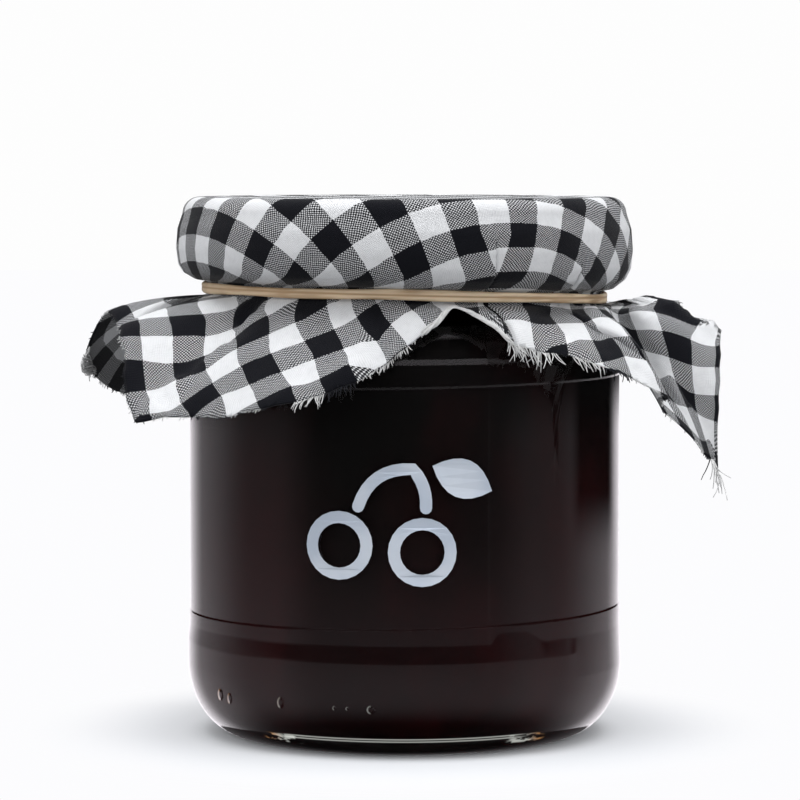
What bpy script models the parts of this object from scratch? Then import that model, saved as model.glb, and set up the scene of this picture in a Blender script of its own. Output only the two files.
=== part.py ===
"""A shut glass jar of dark jam, its twist-off lid under a gathered gingham cloth.

The jar stands on its bearing ring at z = 0 with its axis on Z. The front, where the printed motif
sits, looks along -Y. Turns are measured in degrees from the front towards +X.
"""

import math
from typing import NamedTuple

import bmesh
import bpy
import numpy as np

MM = 0.001
ROUND_STEPS = 56
CLEARANCE = 0.3 * MM

# Glass body
BODY_R = 43.0 * MM
HEEL_BULGE_R = 43.3 * MM
WALL = 2.6 * MM
RING_INNER_R = 30.6 * MM
RING_OUTER_R = 32.6 * MM
PUSH_UP = 1.7 * MM
BASE_INNER_Z = 5.6 * MM
HEEL_TOP_Z = 14.5 * MM
STEP_LOW_Z = 19.2 * MM
STEP_HIGH_Z = 21.8 * MM
PANEL_LOW_Z = 25.4 * MM
PANEL_HIGH_Z = 71.2 * MM
PANEL_RELIEF = 0.12 * MM
SHOULDER_LOW_Z = 74.6 * MM
SHOULDER_HIGH_Z = 83.6 * MM
NECK_R = 37.4 * MM
FINISH_R = 38.6 * MM
FINISH_LOW_Z = 90.0 * MM
LIP_Z = 104.6 * MM
MOUTH_R = 34.6 * MM
INNER_HEEL_R = 13.0 * MM
PUSH_UP_RUN = 3.0 * MM
JAM_LEVEL_Z = 95.0 * MM

# Twist-off lid
LID_R = 43.3 * MM
LID_TOP_Z = 106.0 * MM
LID_LOW_Z = 92.2 * MM
LID_SHEET = 0.8 * MM
LID_CORNER = 2.4 * MM
LID_HEM_R = 0.85 * MM
LID_HEM_INSIDE = 2.6 * MM

# Rubber band, one loop of two strands side by side
BAND_Z = 87.9 * MM
BAND_HEIGHT = 2.1 * MM
BAND_THICKNESS = 0.95 * MM
BAND_GROOVE = 0.2 * MM
BAND_REACH = 1.6 * MM
BAND_DROP_RIGHT = 1.0 * MM
BAND_DROP_BACK = 0.7 * MM

# Cloth: flat distances in mm from the lid's centre to its right, back and left edges, and how far
# ahead of the centre its two front corners lie. The front edge was cut slanting between them.
CLOTH_THICKNESS = 0.4 * MM
CLOTH_RIGHT = 90.5
CLOTH_BACK = 77.5
CLOTH_LEFT = 85.0
CLOTH_LOW_CORNER = 59.8
CLOTH_LONG_CORNER = 100.5
CLOTH_TURN = 24.5
CLOTH_TOP_Z = LID_TOP_Z + CLEARANCE + CLOTH_THICKNESS / 2
CLOTH_OFF_GLASS = CLEARANCE + CLOTH_THICKNESS
CLOTH_TOP_RINGS = (0.0, 20.0 * MM, 36.0 * MM)
# The cloth from the lid's corner to the band at the front: radius and height in mm
RIM_SECTION = ((45.0, 100.5), (45.3, 96.5), (44.9, 93.1), (43.9, 91.3), (41.6, 89.7), (39.5, 89.3),
               (39.0, 88.9))
NECK_CLOTH_R = 39.0 * MM
CROWN_PATH = 44.5 * MM
CROWN_CLOTH = 43.0 * MM
GATHER_START = 57.0 * MM
LEAN_START = 42.0 * MM
LEAN_LEAD = 5.0 * MM
SHEET_OUT = 0.72
SHEET_DOWN = 0.16
COLUMN_GAP = 5.3
SKIRT_RINGS = (0.16, 0.36, 0.57, 0.78, 1.0)

# Printed motif on the front of the glass: two cherries, their stems and a leaf
PRINT_THICKNESS = 0.15 * MM
PRINT_STROKE = 2.3 * MM
PRINT_Z = 46.0 * MM
CHERRY_R = 5.4 * MM
CHERRY_LEFT = (-12.6 * MM, -4.6 * MM)
CHERRY_RIGHT = (3.4 * MM, -5.8 * MM)
STEM_TOP = (1.6 * MM, 10.0 * MM)
LEAF_TIP = (17.0 * MM, 5.6 * MM)
LEAF_WIDTH = 7.4 * MM
STROKE_GAP = 0.7 * MM


class Hem(NamedTuple):
    """Where one point of the cloth's cut edge hangs, and how the cloth above it is held.

    u and v place it on the flat cloth, in mm from the lid's centre, +u to the right and +v to the
    back. turn is its bearing round the jar in degrees, reach its distance from the axis in mm, and
    height its height over the table in mm. held is the cloth between the lid's centre and the band
    in mm, and swing how far round the jar it is pulled at the band, in degrees.
    """

    u: float
    v: float
    turn: float
    reach: float
    height: float
    held: float = 68.0
    swing: float = 0.0


def hems() -> list[Hem]:
    """Return the hanging points of the cut edge, counter-clockwise from the front edge's middle."""
    right, back, left = CLOTH_RIGHT, CLOTH_BACK, -CLOTH_LEFT
    return [
        # Front edge, right of the tuck
        Hem(4.7, -81.5, 21.7, 48.4, 79.5, 73.0, -4.0),
        Hem(17.4, -84.8, 32.1, 50.8, 78.9, 74.5, 0.0),
        Hem(23.8, -90.0, 39.1, 54.8, 76.2, 74.5, 3.0),
        Hem(36.5, -97.0, 46.9, 60.0, 71.8, 73.0, 8.5),
        Hem(63.0, -100.0, 55.9, 64.1, 63.4, 69.0, 9.0),
        # Right front corner, the long hanging tip
        Hem(right, -CLOTH_LONG_CORNER, 61.9, 67.9, 52.6, 69.0, 4.0),
        # Selvage, along the right
        Hem(right, -78.0, 66.0, 66.4, 68.0),
        Hem(right, -66.0, 70.3, 65.1, 79.3, 68.0, -3.0),
        Hem(right, -48.0, 84.0, 55.0, 70.0),
        Hem(right, -28.0, 97.0, 60.0, 74.0),
        Hem(right, -8.0, 108.0, 67.5, 71.5),
        Hem(right, 15.0, 119.0, 65.5, 83.0),
        Hem(right, 45.0, 134.0, 60.0, 69.0),
        # Right back corner
        Hem(right, back, 143.0, 65.0, 62.0),
        # Back edge
        Hem(62.0, back, 154.0, 57.5, 61.0),
        Hem(38.0, back, 167.0, 53.0, 73.0),
        Hem(15.0, back, 180.0, 49.5, 69.5),
        Hem(-7.0, back, 192.0, 52.5, 76.5),
        Hem(-30.0, back, 206.0, 51.0, 67.5),
        Hem(-56.0, back, 220.0, 62.5, 70.5),
        # Left back corner, which lies bunched to the left
        Hem(left, back, 233.5, 80.5, 71.5),
        # Left edge
        Hem(left, 48.0, 245.0, 63.5, 66.0, 68.0, -3.0),
        Hem(left, 22.0, 262.0, 65.0, 73.0, 68.0, -10.0),
        Hem(left, 5.0, 272.0, 59.0, 84.0, 68.0, -15.0),
        Hem(left, -18.0, 285.0, 55.0, 74.0, 68.0, -20.0),
        Hem(left, -32.0, 293.4, 60.3, 80.2, 68.0, -18.0),
        Hem(left, -45.0, 300.7, 62.7, 74.1, 68.0, -12.5),
        # Left front corner
        Hem(left, -CLOTH_LOW_CORNER, 309.6, 65.9, 64.5, 68.0, -11.5),
        # Front edge, left of the tuck
        Hem(-77.8, -60.0, 314.1, 63.2, 66.1, 68.0, -11.0),
        Hem(-71.5, -69.3, 322.1, 59.5, 65.6, 67.5, -8.5),
        Hem(-58.8, -76.0, 335.4, 57.2, 68.5, 66.5, -6.0),
        Hem(-46.1, -76.5, 347.0, 53.4, 71.9, 66.0, -5.5),
        Hem(-39.7, -72.3, 353.0, 49.9, 74.7, 66.0, -5.3),
        Hem(-27.0, -71.9, 2.7, 45.6, 80.7, 67.0, -3.5),
        Hem(-20.7, -71.8, 7.7, 43.9, 83.4, 68.0, -2.0),
        Hem(-13.0, -71.8, 12.3, 42.0, 86.3, 70.0, -2.5),
        Hem(-1.6, -74.5, 18.9, 44.9, 83.4, 72.0, -3.5),
    ]


def clear_scene() -> None:
    """Remove every object that the scene opens with."""
    for item in list(bpy.data.objects):
        bpy.data.objects.remove(item, do_unlink=True)


def collection_for_part() -> bpy.types.Collection:
    """Make the collection that holds the jar's pieces."""
    group = bpy.data.collections.new("jam_jar")
    bpy.context.scene.collection.children.link(group)
    return group


def finish(name: str, color: tuple[float, float, float], roughness: float, metallic: float = 0.0,
           transmission: float = 0.0) -> bpy.types.Material:
    """Make a plain Principled material."""
    material = bpy.data.materials.new(name)
    material.use_nodes = True
    shader = material.node_tree.nodes["Principled BSDF"]
    shader.inputs["Base Color"].default_value = (*color, 1.0)
    shader.inputs["Roughness"].default_value = roughness
    shader.inputs["Metallic"].default_value = metallic
    shader.inputs["Transmission Weight"].default_value = transmission
    return material


def add_object(group: bpy.types.Collection, name: str, mesh: bpy.types.Mesh,
               material: bpy.types.Material) -> bpy.types.Object:
    """Link a mesh into the part's collection as a named object with its material."""
    item = bpy.data.objects.new(name, mesh)
    mesh.materials.append(material)
    group.objects.link(item)
    return item


def arc(center: tuple[float, float], radii: tuple[float, float], start: float, end: float,
        count: int) -> list[tuple[float, float]]:
    """Return points on an ellipse's arc, angles in degrees."""
    points = []
    for i in range(count):
        angle = math.radians(start + (end - start) * i / (count - 1))
        points.append((center[0] + radii[0] * math.cos(angle), center[1] + radii[1] * math.sin(angle)))
    return points


def turned(group: bpy.types.Collection, name: str, profile: list[tuple[float, float]], closed: bool,
           material: bpy.types.Material) -> bpy.types.Object:
    """Turn a profile of (radius, height) points round Z, outer side first, top to bottom.

    An open profile starts and ends on the axis. A closed one is a ring section.
    """
    mesh = bpy.data.meshes.new(name)
    work = bmesh.new()
    corners = [work.verts.new((radius, 0.0, height)) for radius, height in profile]
    for first, second in zip(corners, corners[1:]):
        work.edges.new((first, second))
    if closed:
        work.edges.new((corners[-1], corners[0]))
    work.to_mesh(mesh)
    work.free()
    item = add_object(group, name, mesh, material)
    screw = item.modifiers.new("turned", "SCREW")
    screw.axis = "Z"
    screw.steps = ROUND_STEPS
    screw.render_steps = ROUND_STEPS
    screw.use_merge_vertices = True
    screw.merge_threshold = 0.00001
    screw.use_smooth_shade = True
    return item


def heel_outline() -> list[tuple[float, float]]:
    """Return the outer heel, from the bulge down to the bearing ring."""
    center = (RING_OUTER_R, HEEL_TOP_Z)
    radii = (HEEL_BULGE_R - RING_OUTER_R, HEEL_TOP_Z)
    return arc(center, radii, 0, -90, 7)


def add_jar(group: bpy.types.Collection) -> bpy.types.Object:
    """Make the glass: finish, shoulder, recessed panel, stepped heel, push-up base and inner wall."""
    lip_mid = (MOUTH_R + FINISH_R) / 2
    lip_half = (FINISH_R - MOUTH_R) / 2
    outer = [(lip_mid, LIP_Z)]
    outer += [(FINISH_R, LIP_Z - lip_half / 2), (FINISH_R, FINISH_LOW_Z)]
    outer += [(NECK_R, FINISH_LOW_Z - 1.6 * MM), (NECK_R, SHOULDER_HIGH_Z)]
    shoulder = (BODY_R - NECK_R, SHOULDER_HIGH_Z - SHOULDER_LOW_Z)
    outer += arc((NECK_R, SHOULDER_LOW_Z), shoulder, 80, 0, 5)
    recess_r = BODY_R - PANEL_RELIEF
    outer += [(BODY_R, PANEL_HIGH_Z + PANEL_RELIEF), (recess_r, PANEL_HIGH_Z - PANEL_RELIEF)]
    outer += [(recess_r, PANEL_LOW_Z + PANEL_RELIEF), (BODY_R, PANEL_LOW_Z - PANEL_RELIEF)]
    outer += [(BODY_R, STEP_HIGH_Z), (HEEL_BULGE_R, STEP_LOW_Z)]
    outer += heel_outline()
    base = [(RING_INNER_R, 0.0), (RING_INNER_R - PUSH_UP_RUN, PUSH_UP), (0.0, PUSH_UP)]
    return turned(group, "jar", outer + base + list(reversed(inner_outline(0.0))), True,
                  finish("glass", (0.86, 0.88, 0.9), 0.02, transmission=1.0))


def inner_outline(inset: float) -> list[tuple[float, float]]:
    """Return the glass's inner wall from lip to base centre, set in by a gap."""
    inner_r = BODY_R - WALL - inset
    mouth = MOUTH_R - inset
    floor = BASE_INNER_Z + inset
    shoulder = (inner_r - mouth, SHOULDER_HIGH_Z - SHOULDER_LOW_Z - WALL / 2)
    points = [(mouth, LIP_Z - WALL / 3)]
    points += arc((mouth, SHOULDER_LOW_Z), shoulder, 80, 0, 4)
    heel = (inner_r - INNER_HEEL_R, floor + INNER_HEEL_R)
    points += arc(heel, (INNER_HEEL_R, INNER_HEEL_R), 0, -90, 5)
    points.append((0.0, floor))
    return points


def add_jam(group: bpy.types.Collection) -> bpy.types.Object:
    """Make the jam: a solid that fills the glass up to its level under the lid."""
    wall = inner_outline(CLEARANCE)
    profile = [(0.0, JAM_LEVEL_Z), (wall[0][0], JAM_LEVEL_Z)] + wall[1:]
    return turned(group, "jam", profile, False, finish("cherry_jam", (0.035, 0.004, 0.006), 0.3))


def add_lid(group: bpy.types.Collection) -> bpy.types.Object:
    """Make the shallow metal lid with its rounded corner and rolled hem."""
    corner = (LID_R - LID_CORNER, LID_TOP_Z - LID_CORNER)
    hem = (LID_R - LID_HEM_R, LID_LOW_Z + LID_HEM_R)
    inner_r = LID_R - LID_SHEET
    outer = [(0.0, LID_TOP_Z)] + arc(corner, (LID_CORNER, LID_CORNER), 90, 0, 4)
    rolled = arc(hem, (LID_HEM_R, LID_HEM_R), 0, -180, 5)
    inner = [(inner_r, LID_LOW_Z + LID_HEM_INSIDE), (inner_r, LID_TOP_Z - LID_CORNER)]
    inner += [(inner_r - LID_CORNER, LID_TOP_Z - LID_SHEET), (0.0, LID_TOP_Z - LID_SHEET)]
    return turned(group, "lid", outer + rolled + inner, False,
                  finish("lid_enamel", (0.75, 0.75, 0.74), 0.35, metallic=0.6))


def add_rubber_band(group: bpy.types.Collection) -> bpy.types.Object:
    """Make the rubber band: a flat ring with a groove between its two strands, tilted with the cloth."""
    inner_r = NECK_CLOTH_R + CLOTH_THICKNESS / 2 + CLEARANCE
    outer_r = inner_r + BAND_THICKNESS
    half = BAND_HEIGHT / 2
    edge = half * 0.6
    crown_r = inner_r + BAND_THICKNESS * 0.35
    profile = [(crown_r, half), (outer_r, edge), (outer_r - BAND_GROOVE, 0.0), (outer_r, -edge)]
    profile += [(crown_r, -half), (inner_r, -edge), (inner_r, edge)]
    ring = turned(group, "rubber_band", profile, True, finish("rubber", (0.62, 0.42, 0.25), 0.55))
    ring.location = (0.0, 0.0, BAND_Z)
    ring.rotation_euler = (-math.atan2(BAND_DROP_BACK, NECK_CLOTH_R),
                           math.atan2(BAND_DROP_RIGHT, NECK_CLOTH_R), 0.0)
    return ring


def band_height(turn: np.ndarray) -> np.ndarray:
    """Return the height of the band's middle at each bearing in degrees."""
    angle = np.radians(turn)
    return BAND_Z - BAND_DROP_RIGHT * np.sin(angle) + BAND_DROP_BACK * np.cos(angle)


def through_points(x: np.ndarray, xs: np.ndarray, ys: np.ndarray) -> np.ndarray:
    """Read a smooth closed curve through points, which never swings past them.

    x and xs are bearings in degrees with xs rising over one turn.
    """
    xs = np.concatenate([xs[-2:] - 360.0, xs, xs[:2] + 360.0])
    ys = np.concatenate([ys[-2:], ys, ys[:2]])
    widths = np.diff(xs)
    slopes = np.diff(ys) / widths
    tangents = np.zeros_like(ys)
    same_way = slopes[:-1] * slopes[1:] > 0
    first, second = slopes[:-1], slopes[1:]
    blended = 2 * first * second / np.where(same_way, first + second, 1.0)
    tangents[1:-1] = np.where(same_way, blended, 0.0)
    x = (x - xs[2]) % 360.0 + xs[2]
    i = np.clip(np.searchsorted(xs, x, side="right") - 1, 0, len(widths) - 1)
    width = widths[i]
    t = (x - xs[i]) / width
    return ((2 * t**3 - 3 * t**2 + 1) * ys[i] + (t**3 - 2 * t**2 + t) * width * tangents[i]
            + (3 * t**2 - 2 * t**3) * ys[i + 1] + (t**3 - t**2) * width * tangents[i + 1])


def flat_bearing(point: Hem) -> float:
    """Return the bearing of a hanging point on the flat cloth, in degrees from 0 to 360."""
    return math.degrees(math.atan2(point.u, -point.v)) % 360.0


def along_hem(bearing: np.ndarray, values: list[float]) -> np.ndarray:
    """Read values that are given at the hanging points at any flat bearings."""
    return through_points(bearing, np.array([flat_bearing(point) for point in hems()]), np.array(values))


def edge_distance(bearing: np.ndarray) -> np.ndarray:
    """Return how far the flat cloth's cut edge is from the lid's centre at each flat bearing."""
    corners = np.array([(point.u, point.v) for point in hems()]) * MM
    angles = np.array([flat_bearing(point) for point in hems()])
    following = np.searchsorted(angles, bearing % 360.0, side="right") % len(corners)
    start, end = corners[following - 1], corners[following]
    along = end - start
    angle = np.radians(bearing)
    reach = start[..., 0] * along[..., 1] - start[..., 1] * along[..., 0]
    return reach / (np.sin(angle) * along[..., 1] + np.cos(angle) * along[..., 0])


def cloth_held(bearing: np.ndarray) -> np.ndarray:
    """Return how much cloth lies between the lid's centre and the band at each flat bearing."""
    return along_hem(bearing, [point.held for point in hems()]) * MM


def slack(bearing: np.ndarray) -> np.ndarray:
    """Return the length on the rim that a length of cloth below the crown takes at each bearing."""
    return (rim_length() - CROWN_PATH) / (cloth_held(bearing) - CROWN_CLOTH)


def flat_distance(path: float, bearing: np.ndarray) -> np.ndarray:
    """Return how far from the centre the flat cloth is that lies at a length along the rim."""
    if path < CROWN_PATH:
        return np.full_like(bearing, path * CROWN_CLOTH / CROWN_PATH)
    return CROWN_CLOTH + (path - CROWN_PATH) / slack(bearing)


def rim_path() -> np.ndarray:
    """Return the cloth's section from the lid's centre over its rim to below the band."""
    corner = (LID_R - LID_CORNER, LID_TOP_Z - LID_CORNER)
    corner_r = LID_CORNER + CLOTH_OFF_GLASS
    section = [(radius, CLOTH_TOP_Z) for radius in CLOTH_TOP_RINGS]
    section += arc(corner, (corner_r, corner_r), 84, 0, 4)
    section += [(radius * MM, level * MM) for radius, level in RIM_SECTION]
    section.append((NECK_CLOTH_R, BAND_Z - BAND_REACH))
    return np.array(section)


def rim_travel() -> np.ndarray:
    """Return the cloth's length from the lid's centre to each point of its section."""
    steps = np.linalg.norm(np.diff(rim_path(), axis=0), axis=1)
    return np.concatenate([[0.0], np.cumsum(steps)])


def rim_length() -> float:
    """Return the cloth's length from the lid's centre to the lower side of the band."""
    return float(rim_travel()[-1])


def glass_radius(level: np.ndarray) -> np.ndarray:
    """Return the radius of the glass's neck, shoulder and body at each height."""
    climb = np.clip((level - SHOULDER_LOW_Z) / (SHOULDER_HIGH_Z - SHOULDER_LOW_Z), 0.0, 1.0)
    return NECK_R + (BODY_R - NECK_R) * np.sqrt(1.0 - climb**2)


def drape(u: np.ndarray, v: np.ndarray) -> np.ndarray:
    """Place points of the flat cloth on the dressed jar.

    u and v are places on the flat cloth in metres from the lid's centre. The result has a row of
    x, y and z for each.
    """
    points = hems()
    bearing = np.degrees(np.arctan2(u, -v)) % 360.0
    hem_pull = along_hem(bearing, [(point.turn - flat_bearing(point) - CLOTH_TURN + 180.0) % 360.0 - 180.0
                                   for point in points])
    neck_pull = along_hem(bearing, [point.swing for point in points])
    hem_r = along_hem(bearing, [point.reach for point in points]) * MM
    hem_z = along_hem(bearing, [point.height for point in points]) * MM
    held = cloth_held(bearing)

    distance = np.hypot(u, v)
    neck = rim_length()
    path = np.where(distance < CROWN_CLOTH, distance * CROWN_PATH / CROWN_CLOTH,
                    CROWN_PATH + (distance - CROWN_CLOTH) * slack(bearing))
    down = np.clip((distance - held) / np.maximum(edge_distance(bearing) - held, 1e-6), 0.0, 1.0)
    gather = np.clip((path - GATHER_START) / (neck - GATHER_START), 0.0, 1.0)
    gather = gather**2 * (3 - 2 * gather)
    pull = neck_pull * gather + (hem_pull - neck_pull) * down * (2 - down)
    turn = bearing + CLOTH_TURN + pull

    band_z = band_height(turn)
    section = rim_path()
    travelled = rim_travel()
    rim_r = np.interp(path, travelled, section[:, 0])
    lean_end = neck - LEAN_LEAD
    lean = np.clip((path - LEAN_START) / (lean_end - LEAN_START), 0.0, 1.0)**2
    rim_z = np.interp(path, travelled, section[:, 1]) + (band_z - BAND_Z) * lean
    start_z = band_z - BAND_REACH
    out, drop = hem_r - NECK_CLOTH_R, start_z - hem_z
    bend = 2 * down * (1 - down)
    skirt_r = NECK_CLOTH_R + out * (bend * SHEET_OUT + down**2)
    skirt_z = start_z - drop * (bend * SHEET_DOWN + down**2)
    skirt_r = np.maximum(skirt_r, glass_radius(skirt_z) + CLOTH_OFF_GLASS)
    on_skirt = distance > held
    radius = np.where(on_skirt, skirt_r, rim_r)
    level = np.where(on_skirt, skirt_z, rim_z)
    angle = np.radians(turn)
    return np.stack([radius * np.sin(angle), -radius * np.cos(angle), level], axis=-1)


def flat_columns() -> list[float]:
    """Return the flat bearings of the mesh's columns, with one at each hanging point."""
    bearings = [flat_bearing(point) for point in hems()]
    columns = []
    for start, end in zip(bearings, bearings[1:] + [bearings[0] + 360.0]):
        count = max(1, round((end - start) / COLUMN_GAP))
        columns += [start + (end - start) * i / count for i in range(count)]
    return columns


def add_cloth(group: bpy.types.Collection) -> bpy.types.Object:
    """Make the gathered cover: a sheet over the lid, drawn in at the band and flaring below it."""
    bearings = np.array(flat_columns())
    reach = edge_distance(bearings)
    held = cloth_held(bearings)
    rings = [flat_distance(path, bearings) for path in rim_travel()[1:]]
    rings += [held + (reach - held) * share for share in SKIRT_RINGS]
    angle = np.radians(bearings)

    work = bmesh.new()
    center = work.verts.new(drape(np.array([0.0]), np.array([1e-6]))[0])
    rows = []
    for ring in rings:
        places = drape(ring * np.sin(angle), -ring * np.cos(angle))
        rows.append([work.verts.new(place) for place in places])
    count = len(bearings)
    for i in range(count):
        after = (i + 1) % count
        work.faces.new((center, rows[0][i], rows[0][after]))
        for inner, outer in zip(rows, rows[1:]):
            work.faces.new((inner[i], outer[i], outer[after], inner[after]))
    mesh = bpy.data.meshes.new("cloth_cover")
    work.to_mesh(mesh)
    work.free()
    mesh.shade_smooth()
    cloth = add_object(group, "cloth_cover", mesh, finish("gingham", (0.45, 0.45, 0.47), 0.85))
    body = cloth.modifiers.new("thickness", "SOLIDIFY")
    body.thickness = CLOTH_THICKNESS
    body.offset = 0.0
    return cloth


def wrap_on_glass(item: bpy.types.Object) -> None:
    """Bend a flat print, drawn in X and Y, round the front of the glass panel."""
    base_r = BODY_R + CLEARANCE + PRINT_THICKNESS / 2
    for vertex in item.data.vertices:
        across, up, lift = vertex.co
        angle = across / base_r
        radius = base_r + lift
        vertex.co = (radius * math.sin(angle), -radius * math.cos(angle), PRINT_Z + up)


def add_print(group: bpy.types.Collection, name: str, outlines: list[list[tuple[float, float]]],
              material: bpy.types.Material) -> bpy.types.Object:
    """Make one flat printed shape from its outer outline and any hole in it."""
    curve = bpy.data.curves.new(name + "_outline", "CURVE")
    curve.dimensions = "2D"
    curve.fill_mode = "BOTH"
    curve.extrude = PRINT_THICKNESS / 2
    for outline in outlines:
        spline = curve.splines.new("POLY")
        spline.points.add(len(outline) - 1)
        spline.use_cyclic_u = True
        for point, (across, up) in zip(spline.points, outline):
            point.co = (across, up, 0.0, 1.0)
    drawn = bpy.data.objects.new(name + "_outline", curve)
    group.objects.link(drawn)
    bpy.context.view_layer.update()
    evaluated = drawn.evaluated_get(bpy.context.evaluated_depsgraph_get())
    mesh = bpy.data.meshes.new_from_object(evaluated)
    bpy.data.objects.remove(drawn, do_unlink=True)
    work = bmesh.new()
    work.from_mesh(mesh)
    bmesh.ops.remove_doubles(work, verts=work.verts, dist=0.00001)
    bmesh.ops.triangulate(work, faces=work.faces)
    bmesh.ops.recalc_face_normals(work, faces=work.faces)
    work.to_mesh(mesh)
    work.free()
    mesh.materials.clear()
    item = add_object(group, name, mesh, material)
    wrap_on_glass(item)
    return item


def stroke_outline(path: list[tuple[float, float]], width: float) -> list[tuple[float, float]]:
    """Return the outline of a stroke with round ends along an open path."""
    half = width / 2
    left, right = [], []
    for i, (x, y) in enumerate(path):
        before, after = path[max(i - 1, 0)], path[min(i + 1, len(path) - 1)]
        heading = math.atan2(after[1] - before[1], after[0] - before[0])
        normal = (-math.sin(heading) * half, math.cos(heading) * half)
        left.append((x + normal[0], y + normal[1]))
        right.append((x - normal[0], y - normal[1]))
    (x0, y0), (x1, y1) = path[0], path[-1]
    start = math.degrees(math.atan2(path[1][1] - y0, path[1][0] - x0))
    end = math.degrees(math.atan2(y1 - path[-2][1], x1 - path[-2][0]))
    cap_end = arc((x1, y1), (half, half), end + 90, end - 90, 7)[1:-1]
    cap_start = arc((x0, y0), (half, half), start - 90, start - 270, 7)[1:-1]
    return left + cap_end + list(reversed(right)) + cap_start


def bow(start: tuple[float, float], end: tuple[float, float], sag: float,
        count: int) -> list[tuple[float, float]]:
    """Return points on a bowed line between two ends, bulging left of its heading by sag."""
    run, rise = end[0] - start[0], end[1] - start[1]
    length = math.hypot(run, rise)
    points = []
    for i in range(count):
        t = i / (count - 1)
        push = 4 * sag * t * (1 - t) / length
        points.append((start[0] + run * t - rise * push, start[1] + rise * t + run * push))
    return points


def ring_outlines(center: tuple[float, float], radius: float) -> list[list[tuple[float, float]]]:
    """Return the outer and inner outline of a ring-shaped stroke."""
    half = PRINT_STROKE / 2
    outer = arc(center, (radius + half, radius + half), 0, 345, 24)
    inner = arc(center, (radius - half, radius - half), 345, 0, 24)
    return [outer, inner]


def add_motif(group: bpy.types.Collection) -> None:
    """Make the printed motif of two cherries, their joined stems and a leaf."""
    white = finish("print_white", (0.8, 0.85, 0.92), 0.4)
    reach = CHERRY_R + PRINT_STROKE + STROKE_GAP
    add_print(group, "print_cherry_left", ring_outlines(CHERRY_LEFT, CHERRY_R), white)
    add_print(group, "print_cherry_right", ring_outlines(CHERRY_RIGHT, CHERRY_R), white)
    left_foot = (CHERRY_LEFT[0] + reach * 0.45, CHERRY_LEFT[1] + reach * 0.89)
    right_foot = (CHERRY_RIGHT[0] + reach * 0.08, CHERRY_RIGHT[1] + reach)
    stem = bow(left_foot, STEM_TOP, 2.4 * MM, 9) + bow(STEM_TOP, right_foot, 0.8 * MM, 7)[1:]
    add_print(group, "print_stems", [stroke_outline(stem, PRINT_STROKE)], white)
    leaf_start = (STEM_TOP[0] + PRINT_STROKE + STROKE_GAP * 2, STEM_TOP[1] + 0.6 * MM)
    upper = bow(leaf_start, LEAF_TIP, LEAF_WIDTH / 2, 9)
    lower = bow(LEAF_TIP, leaf_start, LEAF_WIDTH / 2, 9)
    add_print(group, "print_leaf", [upper[:-1] + lower[:-1]], white)


def main() -> None:
    """Build every piece of the jar."""
    clear_scene()
    group = collection_for_part()
    add_jar(group)
    add_jam(group)
    add_lid(group)
    add_cloth(group)
    add_rubber_band(group)
    add_motif(group)


main()
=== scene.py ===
"""A jar of dark jam under a gathered gingham cloth, dressed over its construction model.

Everything is in metres with +Z up. The jar stands at z = 0 with its axis on Z, and its front looks
along -Y. A turn is a bearing round the axis in degrees, from the front towards +X.
"""

import logging
import math
from dataclasses import dataclass, field
from enum import Enum
from functools import cached_property, reduce
from typing import NamedTuple

import bmesh
import bpy
import numpy as np
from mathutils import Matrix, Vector


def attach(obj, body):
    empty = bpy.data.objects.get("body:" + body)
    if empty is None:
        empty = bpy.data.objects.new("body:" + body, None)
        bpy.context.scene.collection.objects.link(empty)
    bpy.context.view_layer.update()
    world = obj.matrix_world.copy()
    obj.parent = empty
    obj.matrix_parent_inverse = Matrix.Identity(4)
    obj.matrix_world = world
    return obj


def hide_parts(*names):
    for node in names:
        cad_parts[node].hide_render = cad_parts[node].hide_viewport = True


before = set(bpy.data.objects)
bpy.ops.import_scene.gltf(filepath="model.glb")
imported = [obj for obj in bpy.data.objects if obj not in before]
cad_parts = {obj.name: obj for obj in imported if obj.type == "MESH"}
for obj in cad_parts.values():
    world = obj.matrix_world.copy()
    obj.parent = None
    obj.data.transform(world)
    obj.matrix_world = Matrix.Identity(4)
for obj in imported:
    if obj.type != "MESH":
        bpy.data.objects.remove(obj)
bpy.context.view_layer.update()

MM = 0.001
BODY = "root"
LOG = logging.getLogger("jam_jar")

Colour = tuple[float, float, float]
Profile = list[tuple[float, float]]
Span = tuple[float, float]
Place = tuple[float, float, float]
Waves = tuple[tuple[float, int, float], ...]
Socket = bpy.types.NodeSocket


class Side(Enum):
    """The four cut sides of the flat cloth."""

    FRONT = "front"
    RIGHT = "right"
    BACK = "back"
    LEFT = "left"


# Shader building


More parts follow.
